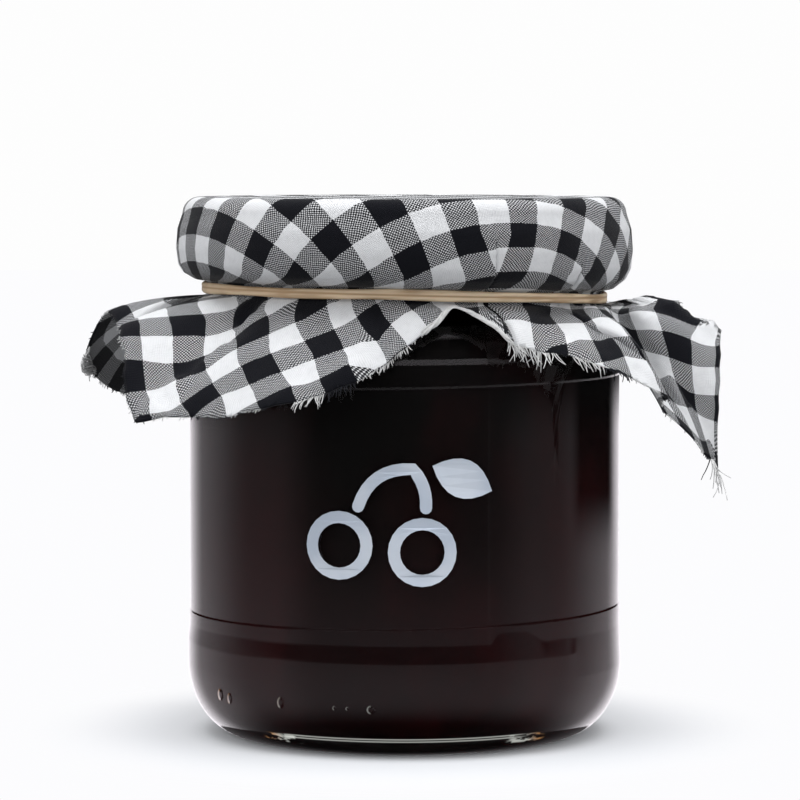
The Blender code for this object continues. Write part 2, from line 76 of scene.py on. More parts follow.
class Bench:
    """Lays out the shader nodes of one material."""

    def __init__(self, name: str) -> None:
        """Start a material with its Principled shader.

        Args:
            name: the material's name.
        """
        self.material = bpy.data.materials.new(name)
        self.material.use_nodes = True
        self.tree = self.material.node_tree
        self.shader = self.tree.nodes["Principled BSDF"]

    def add(self, kind: str, **settings: object) -> bpy.types.Node:
        """Add a shader node and set its options.

        Args:
            kind: the node's type without its ShaderNode prefix.
            settings: option names and values.

        Returns:
            The new node.
        """
        node = self.tree.nodes.new("ShaderNode" + kind)
        for key, value in settings.items():
            setattr(node, key, value)
        return node

    def feed(self, value: object, socket: Socket) -> None:
        """Set a socket to a number, or link another node's output to it.

        Args:
            value: a number or another node's output.
            socket: the input to fill.
        """
        if isinstance(value, (int, float)):
            socket.default_value = value
        else:
            self.tree.links.new(value, socket)

    def math(self, operation: str, *values: object) -> Socket:
        """Add a Math node.

        Args:
            operation: the node's operation.
            values: numbers or sockets, in the node's order.

        Returns:
            The result's socket.
        """
        node = self.add("Math", operation=operation)
        for socket, value in zip(node.inputs, values):
            self.feed(value, socket)
        return node.outputs[0]

    def times(self, *values: object) -> Socket:
        """Multiply numbers or sockets together."""
        return reduce(lambda first, second: self.math("MULTIPLY", first, second), values)

    def plus(self, *values: object) -> Socket:
        """Add numbers or sockets up."""
        return reduce(lambda first, second: self.math("ADD", first, second), values)

    def minus(self, first: object, second: object) -> Socket:
        """Take the second number or socket from the first."""
        return self.math("SUBTRACT", first, second)

    def off(self, value: object, middle: object) -> Socket:
        """Return how far a value lies to either side of a middle."""
        return self.math("ABSOLUTE", self.minus(value, middle))

    def reach(self, x: Socket, y: Socket) -> Socket:
        """Return the distance from the Z axis."""
        return self.math("SQRT", self.plus(self.times(x, x), self.times(y, y)))

    def ramp(self, value: object, low: float, high: float, start: float = 0.0, end: float = 1.0) -> Socket:
        """Map a value smoothly from one range to another.

        Args:
            value: the number or socket to map.
            low: where the ramp starts.
            high: where it ends.
            start: the result at low.
            end: the result at high.

        Returns:
            The result's socket.
        """
        node = self.add("MapRange", interpolation_type="SMOOTHSTEP")
        for socket, number in zip(node.inputs, (value, low, high, start, end)):
            self.feed(number, socket)
        return node.outputs[0]

    def blend(self, share: object, first: object, second: object) -> Socket:
        """Mix two colours.

        Args:
            share: how much of the second, as a number or a socket.
            first: the first colour, or a socket.
            second: the second colour, or a socket.

        Returns:
            The mixed colour's socket.
        """
        node = self.add("Mix", data_type="RGBA")
        self.feed(share, node.inputs["Factor"])
        for name, colour in (("A", first), ("B", second)):
            socket = next(s for s in node.inputs if s.name == name and s.type == "RGBA")
            if isinstance(colour, tuple):
                socket.default_value = (*colour, 1.0)
            else:
                self.tree.links.new(colour, socket)
        return next(s for s in node.outputs if s.type == "RGBA")

    def place(self) -> Socket:
        """Return the object's own coordinates in metres."""
        return self.add("TexCoord").outputs["Object"]

    def axes(self, vector: Socket) -> tuple[Socket, ...]:
        """Split a vector into its three numbers.

        Args:
            vector: the vector's socket.

        Returns:
            The sockets of x, y and z.
        """
        node = self.add("SeparateXYZ")
        self.tree.links.new(vector, node.inputs[0])
        return tuple(node.outputs)

    def noise(self, vector: Socket, scale: float, detail: float = 2.0,
              stretch: Place = (1.0, 1.0, 1.0)) -> Socket:
        """Add a noise texture.

        Args:
            vector: where it is read.
            scale: its fineness.
            detail: its layers of finer noise.
            stretch: factors on the three coordinates.

        Returns:
            The noise value's socket, from 0 to 1.
        """
        scaled = self.add("VectorMath", operation="MULTIPLY")
        self.tree.links.new(vector, scaled.inputs[0])
        scaled.inputs[1].default_value = stretch
        node = self.add("TexNoise")
        self.tree.links.new(scaled.outputs[0], node.inputs["Vector"])
        node.inputs["Scale"].default_value = scale
        node.inputs["Detail"].default_value = detail
        return node.outputs[0]

    def bump(self, height: Socket, distance: float, strength: float = 1.0) -> None:
        """Drive the shader's normal from a height of up to a distance in metres.

        Args:
            height: the height's socket.
            distance: how high a height of 1 is, in metres.
            strength: a factor on the whole relief.
        """
        node = self.add("Bump")
        node.inputs["Distance"].default_value = distance
        node.inputs["Strength"].default_value = strength
        self.tree.links.new(height, node.inputs["Height"])
        self.tree.links.new(node.outputs[0], self.shader.inputs["Normal"])

    def set(self, **values: float) -> None:
        """Set the shader's own sockets by name, with _ for a space."""
        for name, value in values.items():
            self.shader.inputs[name.replace("_", " ")].default_value = value


@dataclass(frozen=True)
class GlassFinish:
    """Clear flint glass: a wavy moulded wall and a few bubbles, with painted light: glowing arcs and glints
    in its foot and bright crescents on its bubbles.

    A bubble is its place to the right and up, its half width and its half height, in mm. A pair of
    numbers is where a mark starts to fade in and where it is full.
    """

    tint: Colour = (0.975, 0.985, 0.985)
    index: float = 1.5
    wave_scale: float = 60.0
    wave_depth: float = 0.012 * MM
    # From here to pale: where the painted light in the foot shows, as glowing arcs over the bearing ring
    # with amber and pale glints at their ends.
    foot_r: Span = (36.5 * MM, 37.0 * MM)
    foot_front: Span = (0.0, -5.0 * MM)
    arcs_z: Span = (4.0 * MM, 3.5 * MM)
    arc_off: Span = (0.22 * MM, 0.06 * MM)
    arc_x: Span = (24.5 * MM, 20.5 * MM)
    painted_arc_glow: float = 0.30
    glint_z: float = 3.1 * MM
    glint_x: float = 23.2 * MM
    glint_up: Span = (1.1 * MM, 0.6 * MM)
    glint_aside: Span = (4.2 * MM, 2.0 * MM)
    glint_fade: float = 3.0 * MM
    painted_glint_glow: float = 0.42
    spark_scale: float = 420.0
    amber: Colour = (1.0, 0.50, 0.20)
    pale: Colour = (0.97, 1.0, 0.93)
    bubbles: tuple[tuple[float, float, float, float], ...] = (
        (-35.8, 10.3, 0.6, 1.3), (-33.9, 9.9, 0.5, 1.2), (-23.7, 10.5, 0.7, 1.2),
        (-13.3, 10.2, 0.4, 0.5), (-10.8, 10.2, 0.4, 0.4), (-6.3, 10.1, 0.9, 0.9))
    bubble_depth: float = 30.0
    # How bright the painted highlight crescents at the bubbles' left edges glow.
    painted_bubble_glow: float = 0.16

    def bubble(self, bench: Bench, x: Socket, z: Socket,
               spot: tuple[float, float, float, float]) -> tuple[Socket, Socket]:
        """Lay out one bubble.

        Args:
            bench: the material's bench.
            x: the place to the right.
            z: the height.
            spot: the bubble's place and half sizes in mm.

        Returns:
            Its dome, and the painted highlight crescent at its left.
        """
        across, up, half, tall = spot
        steps = [bench.math("DIVIDE", bench.minus(axis, middle * MM), size * MM)
                 for axis, middle, size in ((x, across, half), (z, up, tall))]
        away = bench.plus(*[bench.times(step, step) for step in steps])
        dome = bench.ramp(away, 1.0, 0.1, 0.0, self.bubble_depth)
        # A painted highlight: a bright crescent round the bubble's left edge.
        outline = bench.times(bench.ramp(away, 0.3, 0.6), bench.ramp(away, 1.1, 0.8))
        return dome, bench.times(outline, bench.ramp(steps[0], 0.1, -0.5))

    def painted_foot_glow(self, bench: Bench, place: Socket, aside: Socket, z: Socket) -> Socket:
        """Return the painted light of the two glowing arcs over the bearing ring and of the glints at their
        ends.

        Args:
            bench: the material's bench.
            place: the object's own coordinates.
            aside: the distance to the right or left.
            z: the height.

        Returns:
            The light's strength.
        """
        # Painted light: thin glowing arcs and speckled glints where light gathered in the bearing ring would
        # show.
        lines = [bench.ramp(bench.off(z, arc_z), *self.arc_off) for arc_z in self.arcs_z]
        arcs = bench.times(bench.math("MAXIMUM", *lines), bench.ramp(aside, *self.arc_x))
        sparks = bench.ramp(bench.noise(place, self.spark_scale, 2.0, (1.0, 1.0, 2.4)), 0.46, 0.62)
        glints = bench.times(bench.ramp(bench.off(z, self.glint_z), *self.glint_up),
                             bench.ramp(bench.off(aside, self.glint_x), *self.glint_aside), sparks)
        return bench.plus(bench.times(arcs, self.painted_arc_glow), bench.times(glints, self.painted_glint_glow))

    def make(self) -> bpy.types.Material:
        """Build the glass.

        Returns:
            The material.
        """
        bench = Bench("jar_glass")
        bench.set(IOR=self.index, Roughness=0.0, Transmission_Weight=1.0)
        bench.shader.inputs["Base Color"].default_value = (*self.tint, 1.0)
        place = bench.place()
        x, y, z = bench.axes(place)
        marks = [self.bubble(bench, x, z, spot) for spot in self.bubbles]
        domes = bench.times(bench.plus(*[dome for dome, _ in marks]), bench.ramp(y, 0.0, -1 * MM))
        waves = bench.noise(place, self.wave_scale, 1.0, (1.0, 1.0, 0.35))
        bench.bump(bench.plus(waves, domes), self.wave_depth)
        aside = bench.math("ABSOLUTE", x)
        # The bubbles' painted highlights, added to the glass's glow.
        crescent_highlights = bench.times(bench.plus(*[crescent for _, crescent in marks]), self.painted_bubble_glow)
        glow = bench.plus(self.painted_foot_glow(bench, place, aside, z), crescent_highlights)
        # The painted glow shows only beyond 37 mm from the axis and on the glass's front.
        outside = bench.times(bench.ramp(bench.reach(x, y), *self.foot_r), bench.ramp(y, *self.foot_front))
        bench.feed(bench.times(glow, outside), bench.shader.inputs["Emission Strength"])
        # The painted glow is pale towards the middle and amber towards the sides.
        inward = bench.ramp(aside, self.glint_x + self.glint_fade, self.glint_x)
        bench.feed(bench.blend(inward, self.amber, self.pale), bench.shader.inputs["Emission Color"])
        return bench.material


@dataclass(frozen=True)
class JamFinish:
    """Cherry jam so dark that it shows red only where light gets in, and that light is painted into its
    colour.
    """

    deep: Colour = (0.0008, 0.0001, 0.0001)
    red: Colour = (0.018, 0.0007, 0.0010)
    redness: float = 0.48
    cloud_scale: float = 55.0
    # Where and how strongly light is painted into the jam: redder towards the foot and at the flanks.
    foot_z: Span = (60 * MM, 12 * MM)
    foot_light_share: float = 0.75
    flank_x: Span = (10 * MM, 34 * MM)
    flank_z: Span = (72 * MM, 50 * MM)
    flank_light_share: float = 1.1
    pulp_scale: float = 420.0
    pulp_depth: float = 0.02 * MM

    def make(self) -> bpy.types.Material:
        """Build the jam, a little redder in clouds, with painted light that makes it redder at its flanks
        and towards its foot.

        Returns:
            The material.
        """
        bench = Bench("cherry_jam")
        bench.set(Roughness=0.55, Specular_IOR_Level=0.08)
        place = bench.place()
        clouds = bench.ramp(bench.noise(place, self.cloud_scale, 3.0, (1.0, 1.0, 0.6)), 0.42, 0.72)
        across, _, height = bench.axes(place)
        # Painted light: redder towards the foot and at the flanks, where light through the glass would show
        # the jam's red, and darker at the top under the cloth.
        foot = bench.ramp(height, *self.foot_z, 0.0, self.foot_light_share)
        flank = bench.times(bench.ramp(bench.math("ABSOLUTE", across), *self.flank_x, 0.0, self.flank_light_share),
                            bench.ramp(height, *self.flank_z))
        share = bench.times(bench.plus(clouds, foot, flank), self.redness)
        bench.feed(bench.blend(share, self.deep, self.red), bench.shader.inputs["Base Color"])
        bench.bump(bench.noise(place, self.pulp_scale, 2.0), self.pulp_depth)
        return bench.material


@dataclass(frozen=True)
class GinghamFinish:
    """Black and white cotton, woven yarn by yarn from the flat cloth's coordinates.

    The cloth's map holds the flat place as a share of span, from its low corner.
    """

    white: Colour = (0.80, 0.81, 0.83)
    black: Colour = (0.0055, 0.006, 0.009)
    stripe: float = 6.35
    column_start: float = -81.0
    row_start: float = -65.5
    selvage_at: float = 89.4
    yarn: float = 0.33
    span: float = 190.0
    low_u: float = -90.0
    low_v: float = -105.0
    sway: float = 0.5
    sway_scale: float = 70.0
    slub_scale: float = 900.0
    relief: float = 0.07 * MM

    def stripe_tone(self, bench: Bench, place: Socket, start: float,
                    light_first: bool) -> Socket:
        """Return 1 where a yarn is white and 0 where it is black.

        Args:
            bench: the material's bench.
            place: the yarn's place across the cloth in mm.
            start: where the counted stripes begin.
            light_first: whether the first stripe after the start is white.

        Returns:
            The tone's socket.
        """
        count = bench.math("FLOOR", bench.math("DIVIDE", bench.minus(place, start), self.stripe))
        odd = bench.math("PINGPONG", count, 1.0)
        return bench.minus(1.0, odd) if light_first else odd

    def drifting(self, bench: Bench) -> list[Socket]:
        """Return the flat places across and along in mm, where the yarns wander a little.

        Args:
            bench: the material's bench.

        Returns:
            The sockets of the two places.
        """
        flat = bench.add("UVMap", uv_map="flat").outputs[0]
        sway = bench.add("TexNoise", noise_dimensions="2D")
        bench.tree.links.new(flat, sway.inputs["Vector"])
        sway.inputs["Scale"].default_value = self.sway_scale
        sway.inputs["Detail"].default_value = 2.0
        drift = bench.add("SeparateColor")
        bench.tree.links.new(sway.outputs["Color"], drift.inputs[0])
        shares = bench.axes(flat)
        places = []
        for share, low, wander in zip(shares, (self.low_u, self.low_v), drift.outputs):
            exact = bench.math("MULTIPLY_ADD", share, self.span, low)
            places.append(bench.plus(exact, bench.math("MULTIPLY_ADD", wander, self.sway, -self.sway / 2)))
        return places

    def make(self) -> bpy.types.Material:
        """Build the weave.

        Returns:
            The material.
        """
        bench = Bench("gingham")
        bench.set(Roughness=0.88, Sheen_Weight=0.12, Sheen_Roughness=0.4, Specular_IOR_Level=0.2)
        places = self.drifting(bench)
        numbers = [bench.math("DIVIDE", place, self.yarn) for place in places]
        counts = [bench.math("FLOOR", number) for number in numbers]
        centres = [bench.times(bench.plus(count, 0.5), self.yarn) for count in counts]
        warp = self.stripe_tone(bench, centres[0], self.column_start, True)
        warp = bench.times(warp, bench.math("LESS_THAN", places[0], self.selvage_at))
        weft = self.stripe_tone(bench, centres[1], self.row_start, False)
        over = bench.math("PINGPONG", bench.plus(*counts), 1.0)
        beneath = bench.minus(1.0, over)
        domes = [bench.math("SINE", bench.times(bench.math("FRACT", number), math.pi)) for number in numbers]
        height = bench.math("POWER", bench.times(*domes), 0.5)
        top = bench.plus(bench.times(over, warp), bench.times(beneath, weft))
        under = bench.plus(bench.times(over, weft), bench.times(beneath, warp))
        edge = bench.math("MULTIPLY_ADD", top, 0.34, 0.30)
        cover = bench.ramp(bench.minus(height, edge), -0.12, 0.12)
        tone = bench.plus(bench.times(cover, top), bench.times(bench.minus(1.0, cover), under))
        # Painted shade: each yarn darkens towards its low edges, where it dips under its neighbours.
        shade = bench.ramp(height, 0.0, 0.7, 0.72, 1.0)
        slubs = bench.noise(bench.place(), self.slub_scale, 2.0)
        light = bench.times(tone, shade, bench.math("MULTIPLY_ADD", slubs, 0.25, 0.875))
        bench.feed(bench.blend(light, self.black, self.white), bench.shader.inputs["Base Color"])
        bench.bump(height, self.relief, 0.8)
        return bench.material


@dataclass(frozen=True)
class YarnFinish:
    """Loose cotton yarn, whose tone lies along its map from black at 0 to white at 1."""

    white: Colour = (0.80, 0.80, 0.80)
    black: Colour = (0.012, 0.013, 0.018)
    fibre_scale: float = 1500.0
    fibre_depth: float = 0.04 * MM

    def make(self) -> bpy.types.Material:
        """Build the yarn.

        Returns:
            The material.
        """
        bench = Bench("loose_yarn")
        bench.set(Roughness=0.9, Sheen_Weight=0.15, Specular_IOR_Level=0.2)
        tone = bench.axes(bench.add("UVMap", uv_map="tone").outputs[0])[0]
        fibres = bench.noise(bench.place(), self.fibre_scale, 2.0)
        light = bench.times(tone, bench.math("MULTIPLY_ADD", fibres, 0.3, 0.8))
        bench.feed(bench.blend(light, self.black, self.white), bench.shader.inputs["Base Color"])
        bench.bump(fibres, self.fibre_depth)
        return bench.material


@dataclass(frozen=True)
class RubberFinish:
    """Tan rubber with lengthwise cutting marks, painted shade in the groove and paler to the right."""

    tan: Colour = (0.98, 0.79, 0.56)
    dark: Colour = (0.50, 0.33, 0.19)
    middle_z: float = 87.95 * MM
    slope_right: float = 0.0247
    slope_back: float = 0.0173
    # The width of the painted shade along the groove.
    groove_shade_width: float = 0.34 * MM
    paler_x: Span = (-30 * MM, 34 * MM)
    mark_scale: float = 240.0
    mark_depth: float = 0.05 * MM
    blotch_scale: float = 70.0

    def make(self) -> bpy.types.Material:
        """Build the rubber.

        Returns:
            The material.
        """
        bench = Bench("tan_rubber")
        bench.set(Roughness=0.5, Specular_IOR_Level=0.35, Subsurface_Weight=0.15)
        bench.shader.inputs["Subsurface Radius"].default_value = (0.8 * MM, 0.4 * MM, 0.2 * MM)
        place = bench.place()
        marks = bench.noise(place, self.mark_scale, 3.0, (0.4, 0.4, 6.0))
        blotches = bench.noise(place, self.blotch_scale, 2.0)
        x, y, z = bench.axes(place)
        slant = bench.math("MULTIPLY_ADD", x, self.slope_right, bench.times(y, self.slope_back))
        # Painted shade: the colour darkens along the groove between the two strands, which follows the
        # band's tilt.
        groove = bench.ramp(bench.math("ABSOLUTE", bench.plus(bench.minus(z, self.middle_z), slant)),
                            0.0, self.groove_shade_width)
        share = bench.times(bench.ramp(bench.plus(marks, blotches), 0.70, 1.15), groove,
                            bench.ramp(x, *self.paler_x, 0.6, 1.0))
        bench.feed(bench.blend(share, self.dark, self.tan), bench.shader.inputs["Base Color"])
        bench.bump(marks, self.mark_depth)
        return bench.material


@dataclass(frozen=True)
class PrintFinish:
    """Pale blue-white screen print, faintly mottled."""

    pale: Colour = (0.70, 0.76, 0.85)
    cool: Colour = (0.56, 0.63, 0.74)
    mottle_scale: float = 90.0
    grain_scale: float = 900.0
    grain_depth: float = 0.01 * MM

    def make(self) -> bpy.types.Material:
        """Build the ink.

        Returns:
            The material.
        """
        bench = Bench("screen_print")
        bench.set(Roughness=0.38, Specular_IOR_Level=0.4)
        place = bench.place()
        share = bench.ramp(bench.noise(place, self.mottle_scale, 3.0), 0.35, 0.7)
        bench.feed(bench.blend(share, self.cool, self.pale), bench.shader.inputs["Base Color"])
        bench.bump(bench.noise(place, self.grain_scale, 2.0), self.grain_depth)
        return bench.material


@dataclass(frozen=True)
class EnamelFinish:
    """Satin enamel on the tinplate lid, hidden under the cloth."""

    enamel: Colour = (0.78, 0.78, 0.76)
    shaded: Colour = (0.70, 0.70, 0.69)
    peel_scale: float = 700.0
    peel_depth: float = 0.02 * MM

    def make(self) -> bpy.types.Material:
        """Build the enamel.

        Returns:
            The material.
        """
        bench = Bench("lid_enamel")
        bench.set(Metallic=0.3, Coat_Weight=0.3)
        peel = bench.noise(bench.place(), self.peel_scale, 2.0)
        bench.feed(bench.blend(peel, self.enamel, self.shaded), bench.shader.inputs["Base Color"])
        bench.feed(bench.ramp(peel, 0.2, 0.8, 0.28, 0.4), bench.shader.inputs["Roughness"])
        bench.bump(peel, self.peel_depth)
        return bench.material


# Shared shapes


def link(name: str, mesh: bpy.types.Mesh, material: bpy.types.Material) -> bpy.types.Object:
    """Link a mesh into the scene as a named object with one material.

    Args:
        name: the piece's name.
        mesh: its mesh.
        material: its finish.

    Returns:
        The new object.
    """
    item = bpy.data.objects.new(name, mesh)
    mesh.materials.append(material)
    bpy.context.scene.collection.objects.link(item)
    return item


def dress(node: str, material: bpy.types.Material) -> bpy.types.Object:
    """Give a construction node a finish of its own.

    Args:
        node: the construction node.
        material: its finish.

    Returns:
        The node's object.
    """
    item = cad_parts[node]
    item.data.materials.clear()
    item.data.materials.append(material)
    return item


def face_out(mesh: bpy.types.Mesh, merge: bool = False) -> bpy.types.Mesh:
    """Turn a closed mesh's faces outwards and shade it smooth.

    Args:
        mesh: the mesh.
        merge: whether points that lie on each other are joined first.

    Returns:
        The same mesh.
    """
    work = bmesh.new()
    work.from_mesh(mesh)
    if merge:
        bmesh.ops.remove_doubles(work, verts=work.verts, dist=1e-6)
        bmesh.ops.dissolve_degenerate(work, edges=work.edges, dist=1e-7)
    bmesh.ops.recalc_face_normals(work, faces=work.faces)
    work.to_mesh(mesh)
    work.free()
    mesh.shade_smooth()
    return mesh


def write_map(mesh: bpy.types.Mesh, name: str, shares: np.ndarray) -> None:
    """Store two numbers of each vertex in a map that a finish reads.

    Args:
        mesh: the mesh.
        name: the map's name.
        shares: two numbers for each vertex.
    """
    layer = mesh.uv_layers.new(name=name)
    corners = np.zeros(len(mesh.loops), dtype=np.int32)
    mesh.loops.foreach_get("vertex_index", corners)
    layer.data.foreach_set("uv", shares[corners].ravel().astype(np.float32))


def arc(center: tuple[float, float], radii: tuple[float, float], start: float, end: float,
        count: int) -> Profile:
    """Return points on an ellipse's arc, angles in degrees."""
    angles = [math.radians(start + (end - start) * i / (count - 1)) for i in range(count)]
    return [(center[0] + radii[0] * math.cos(a), center[1] + radii[1] * math.sin(a)) for a in angles]


def grid_mesh(name: str, places: np.ndarray, wrap_rows: bool = False,
              wrap_columns: bool = False) -> bpy.types.Mesh:
    """Join a table of places into a smooth mesh of quads.

    Args:
        name: the mesh's name.
        places: rows by columns by 3.
        wrap_rows: whether the last row joins the first.
        wrap_columns: whether the last column joins the first.

    Returns:
        The mesh.
    """
    rows, columns = places.shape[:2]
    number = np.arange(rows * columns).reshape(rows, columns)
    if wrap_rows:
        number = np.vstack([number, number[:1]])
    if wrap_columns:
        number = np.hstack([number, number[:, :1]])
    quads = np.stack([number[:-1, :-1], number[:-1, 1:], number[1:, 1:], number[1:, :-1]], axis=-1)
    mesh = bpy.data.meshes.new(name)
    mesh.from_pydata(places.reshape(-1, 3).tolist(), [], quads.reshape(-1, 4).tolist())
    mesh.shade_smooth()
    return mesh


def ripple(angle: np.ndarray, waves: Waves) -> np.ndarray:
    """Add up waves round the axis, each a height, a number of crests and a shift in radians."""
    return sum(height * np.sin(crests * angle + shift) for height, crests, shift in waves)


def smooth_step(x: np.ndarray) -> np.ndarray:
    """Ease a value from 0 to 1."""
    x = np.clip(x, 0.0, 1.0)
    return x * x * (3 - 2 * x)


def through_points(x: np.ndarray, xs: np.ndarray, ys: np.ndarray) -> np.ndarray:
    """Read a smooth closed curve through points, which never swings past them.

    Args:
        x: the bearings to read, in degrees.
        xs: the points' bearings, rising over one turn.
        ys: the points' values.

    Returns:
        The values at x.
    """
    xs = np.concatenate([xs[-2:] - 360.0, xs, xs[:2] + 360.0])
    ys = np.concatenate([ys[-2:], ys, ys[:2]])
    widths = np.diff(xs)
    slopes = np.diff(ys) / widths
    tangents = np.zeros_like(ys)
    first, second = slopes[:-1], slopes[1:]
    same_way = first * second > 0
    blended = 2 * first * second / np.where(same_way, first + second, 1.0)
    tangents[1:-1] = np.where(same_way, blended, 0.0)
    x = (x - xs[2]) % 360.0 + xs[2]
    i = np.clip(np.searchsorted(xs, x, side="right") - 1, 0, len(widths) - 1)
    width = widths[i]
    t = (x - xs[i]) / width
    return ((2 * t**3 - 3 * t**2 + 1) * ys[i] + (t**3 - 2 * t**2 + t) * width * tangents[i]
            + (3 * t**2 - 2 * t**3) * ys[i + 1] + (t**3 - t**2) * width * tangents[i + 1])


# The jar and its filling


@dataclass
class GlassJar:
    """The moulded glass: neck, shoulder, recessed panel, stepped heel and push-up base."""

    body_r: float = 43.0 * MM
    bulge_r: float = 43.3 * MM
    wall: float = 2.6 * MM
    ring_inner_r: float = 30.6 * MM
    ring_outer_r: float = 32.6 * MM
    push_up: float = 1.7 * MM
    base_inner_z: float = 5.6 * MM
    heel_top_z: float = 14.5 * MM
    step_low_z: float = 19.2 * MM
    step_high_z: float = 21.8 * MM
    panel_low_z: float = 25.4 * MM
    panel_high_z: float = 71.2 * MM
    relief: float = 0.12 * MM
    shoulder_low_z: float = 74.6 * MM
    shoulder_high_z: float = 83.6 * MM
    neck_r: float = 37.4 * MM
    finish_r: float = 38.6 * MM
    finish_low_z: float = 90.0 * MM
    lip_z: float = 104.6 * MM
    mouth_r: float = 34.6 * MM
    inner_heel_r: float = 13.0 * MM
    jam_level_z: float = 95.0 * MM
    jam_bite: float = 0.3 * MM
    seam_turn: float = 21.4
    seam_height: float = 0.07 * MM
    seam_width: float = 0.6
    line_reach: float = 1.2 * MM
    line_tilt: float = 0.016
    step_rise: float = 2.2 * MM
    step_rise_turns: Span = (23.0, 39.0)
    step_fade: float = 0.18 * MM
    step_fade_turns: Span = (47.0, 150.0)
    turns: int = 240
    finish: GlassFinish = field(default_factory=GlassFinish)
    filling: JamFinish = field(default_factory=JamFinish)

    def outer(self) -> Profile:
        """Return the outside, from the lip down to the bearing ring and in to the base's middle.

        Returns:
            Points of radius and height.
        """
        lip_mid = (self.mouth_r + self.finish_r) / 2
        lip_half = (self.finish_r - self.mouth_r) / 2
        points = arc((lip_mid, self.lip_z - lip_half / 2), (lip_half, lip_half / 2), 90, 0, 8)
        points += [(self.finish_r, self.finish_low_z), (self.neck_r, self.finish_low_z - 1.6 * MM)]
        shoulder = (self.body_r - self.neck_r, self.shoulder_high_z - self.shoulder_low_z)
        points += arc((self.neck_r, self.shoulder_low_z), shoulder, 90, 0, 22)
        recess = self.body_r - self.relief
        soft = self.relief
        points += [(self.body_r, self.panel_high_z + soft * 2), (self.body_r, self.panel_high_z + soft)]
        points += [(recess, self.panel_high_z - soft), (recess, self.panel_high_z - soft * 2)]
        count = 12
        drop = (self.panel_high_z - self.panel_low_z) / count
        points += [(recess, self.panel_high_z - drop * i) for i in range(1, count)]
        points += [(recess, self.panel_low_z + soft * 2), (recess, self.panel_low_z + soft)]
        points += [(self.body_r, self.panel_low_z - soft), (self.body_r, self.panel_low_z - soft * 2)]
        points += [(self.body_r, self.step_high_z + 0.5 * MM), (self.body_r, self.step_high_z)]
        points += [(self.bulge_r, self.step_low_z), (self.bulge_r, self.step_low_z - 0.5 * MM)]
        center = (self.ring_outer_r, self.heel_top_z)
        points += arc(center, (self.bulge_r - self.ring_outer_r, self.heel_top_z), 0, -90, 26)
        ring_mid = (self.ring_inner_r + self.ring_outer_r) / 2
        points += [(ring_mid, 0.0), (self.ring_inner_r, 0.0)]
        points += arc((self.ring_inner_r - 3 * MM, 0.0), (3 * MM, self.push_up), 30, 90, 5)
        points += [(r * MM, self.push_up) for r in (20, 10, 0)]
        return points

    def inner(self, inset: float = 0.0) -> Profile:
        """Return the inside from the base's middle up to the lip.

        Args:
            inset: how far it is set in from the glass, or out into it if negative.

        Returns:
            Points of radius and height.
        """
        inner_r = self.body_r - self.wall - inset
        mouth = self.mouth_r - inset
        floor = self.base_inner_z + inset
        points = [(r * MM, floor) for r in (0, 10, 20)]
        center = (inner_r - self.inner_heel_r, floor + self.inner_heel_r)
        points += arc(center, (self.inner_heel_r, self.inner_heel_r), -90, 0, 16)
        shoulder = (inner_r - mouth, self.shoulder_high_z - self.shoulder_low_z - self.wall / 2)
        points += arc((mouth, self.shoulder_low_z), shoulder, 0, 90, 14)
        return points

    def columns(self) -> np.ndarray:
        """Return the mesh's bearings in radians, closer together at the mould seams.

        Returns:
            The bearings, rising.
        """
        even = np.arange(self.turns) * 360.0 / self.turns
        seams = (self.seam_turn, self.seam_turn + 180.0)
        fine = [seam + step for seam in seams for step in np.linspace(-1.2, 1.2, 9)]
        away = [b for b in even if min(abs(b - s) for s in seams) > 1.6]
        return np.radians(np.sort(np.array(away + fine)))

    def turned(self, name: str, profile: Profile, detailed: bool) -> bpy.types.Mesh:
        """Turn a profile round Z into a closed mesh.

        Args:
            name: the mesh's name.
            profile: points of radius and height, starting and ending on the axis or closed.
            detailed: whether the mould seams, the lines' tilt and the step's rise are worked in.

        Returns:
            The mesh, facing out.
        """
        angles = self.columns()
        section = np.array(profile)
        radius = np.repeat(section[:, :1], len(angles), axis=1)
        given_z = section[:, 1:]
        level = np.repeat(given_z, len(angles), axis=1)
        if detailed:
            degrees = np.degrees(angles)
            ridge = sum(np.exp(-(((degrees - self.seam_turn - half + 180) % 360 - 180) / self.seam_width)**2)
                        for half in (0.0, 180.0))
            is_body = (level < self.shoulder_high_z) & (level > self.heel_top_z) & (radius > self.neck_r)
            radius = radius + np.where(is_body, self.seam_height * ridge, 0.0)
            near = sum(np.exp(-((level - line) / self.line_reach)**2)
                       for line in (self.panel_low_z, self.panel_high_z))
            level = level + np.where(is_body, self.line_tilt * radius * np.sin(angles) * near, 0.0)
            low, high = self.step_rise_turns
            taller = smooth_step((degrees - low) / 1.5) * smooth_step((high - degrees) / 7.0)
            at_step = is_body & (given_z >= self.step_high_z) & (given_z < self.panel_low_z - 1 * MM)
            level = level + np.where(at_step, self.step_rise * taller, 0.0)
            low, high = self.step_fade_turns
            fading = smooth_step((degrees - low) / 5.0) * smooth_step((high - degrees) / 20.0)
            below = (given_z <= self.step_low_z) & (given_z > self.step_low_z - 0.6 * MM)
            radius = radius - np.where(is_body & below, self.step_fade * fading, 0.0)
        places = np.stack([radius * np.sin(angles), -radius * np.cos(angles), level], axis=-1)
        return face_out(grid_mesh(name, places, wrap_columns=True), merge=True)

    def build_glass(self) -> bpy.types.Object:
        """Make the glass, which stands for the construction model's jar.

        Returns:
            The new piece.
        """
        profile = self.outer() + self.inner()
        profile.append((self.mouth_r, self.lip_z - self.wall / 3))
        profile.append(profile[0])
        item = link("glass_jar", self.turned("glass_jar", profile, True), self.finish.make())
        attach(item, BODY)
        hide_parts("jar")
        return item

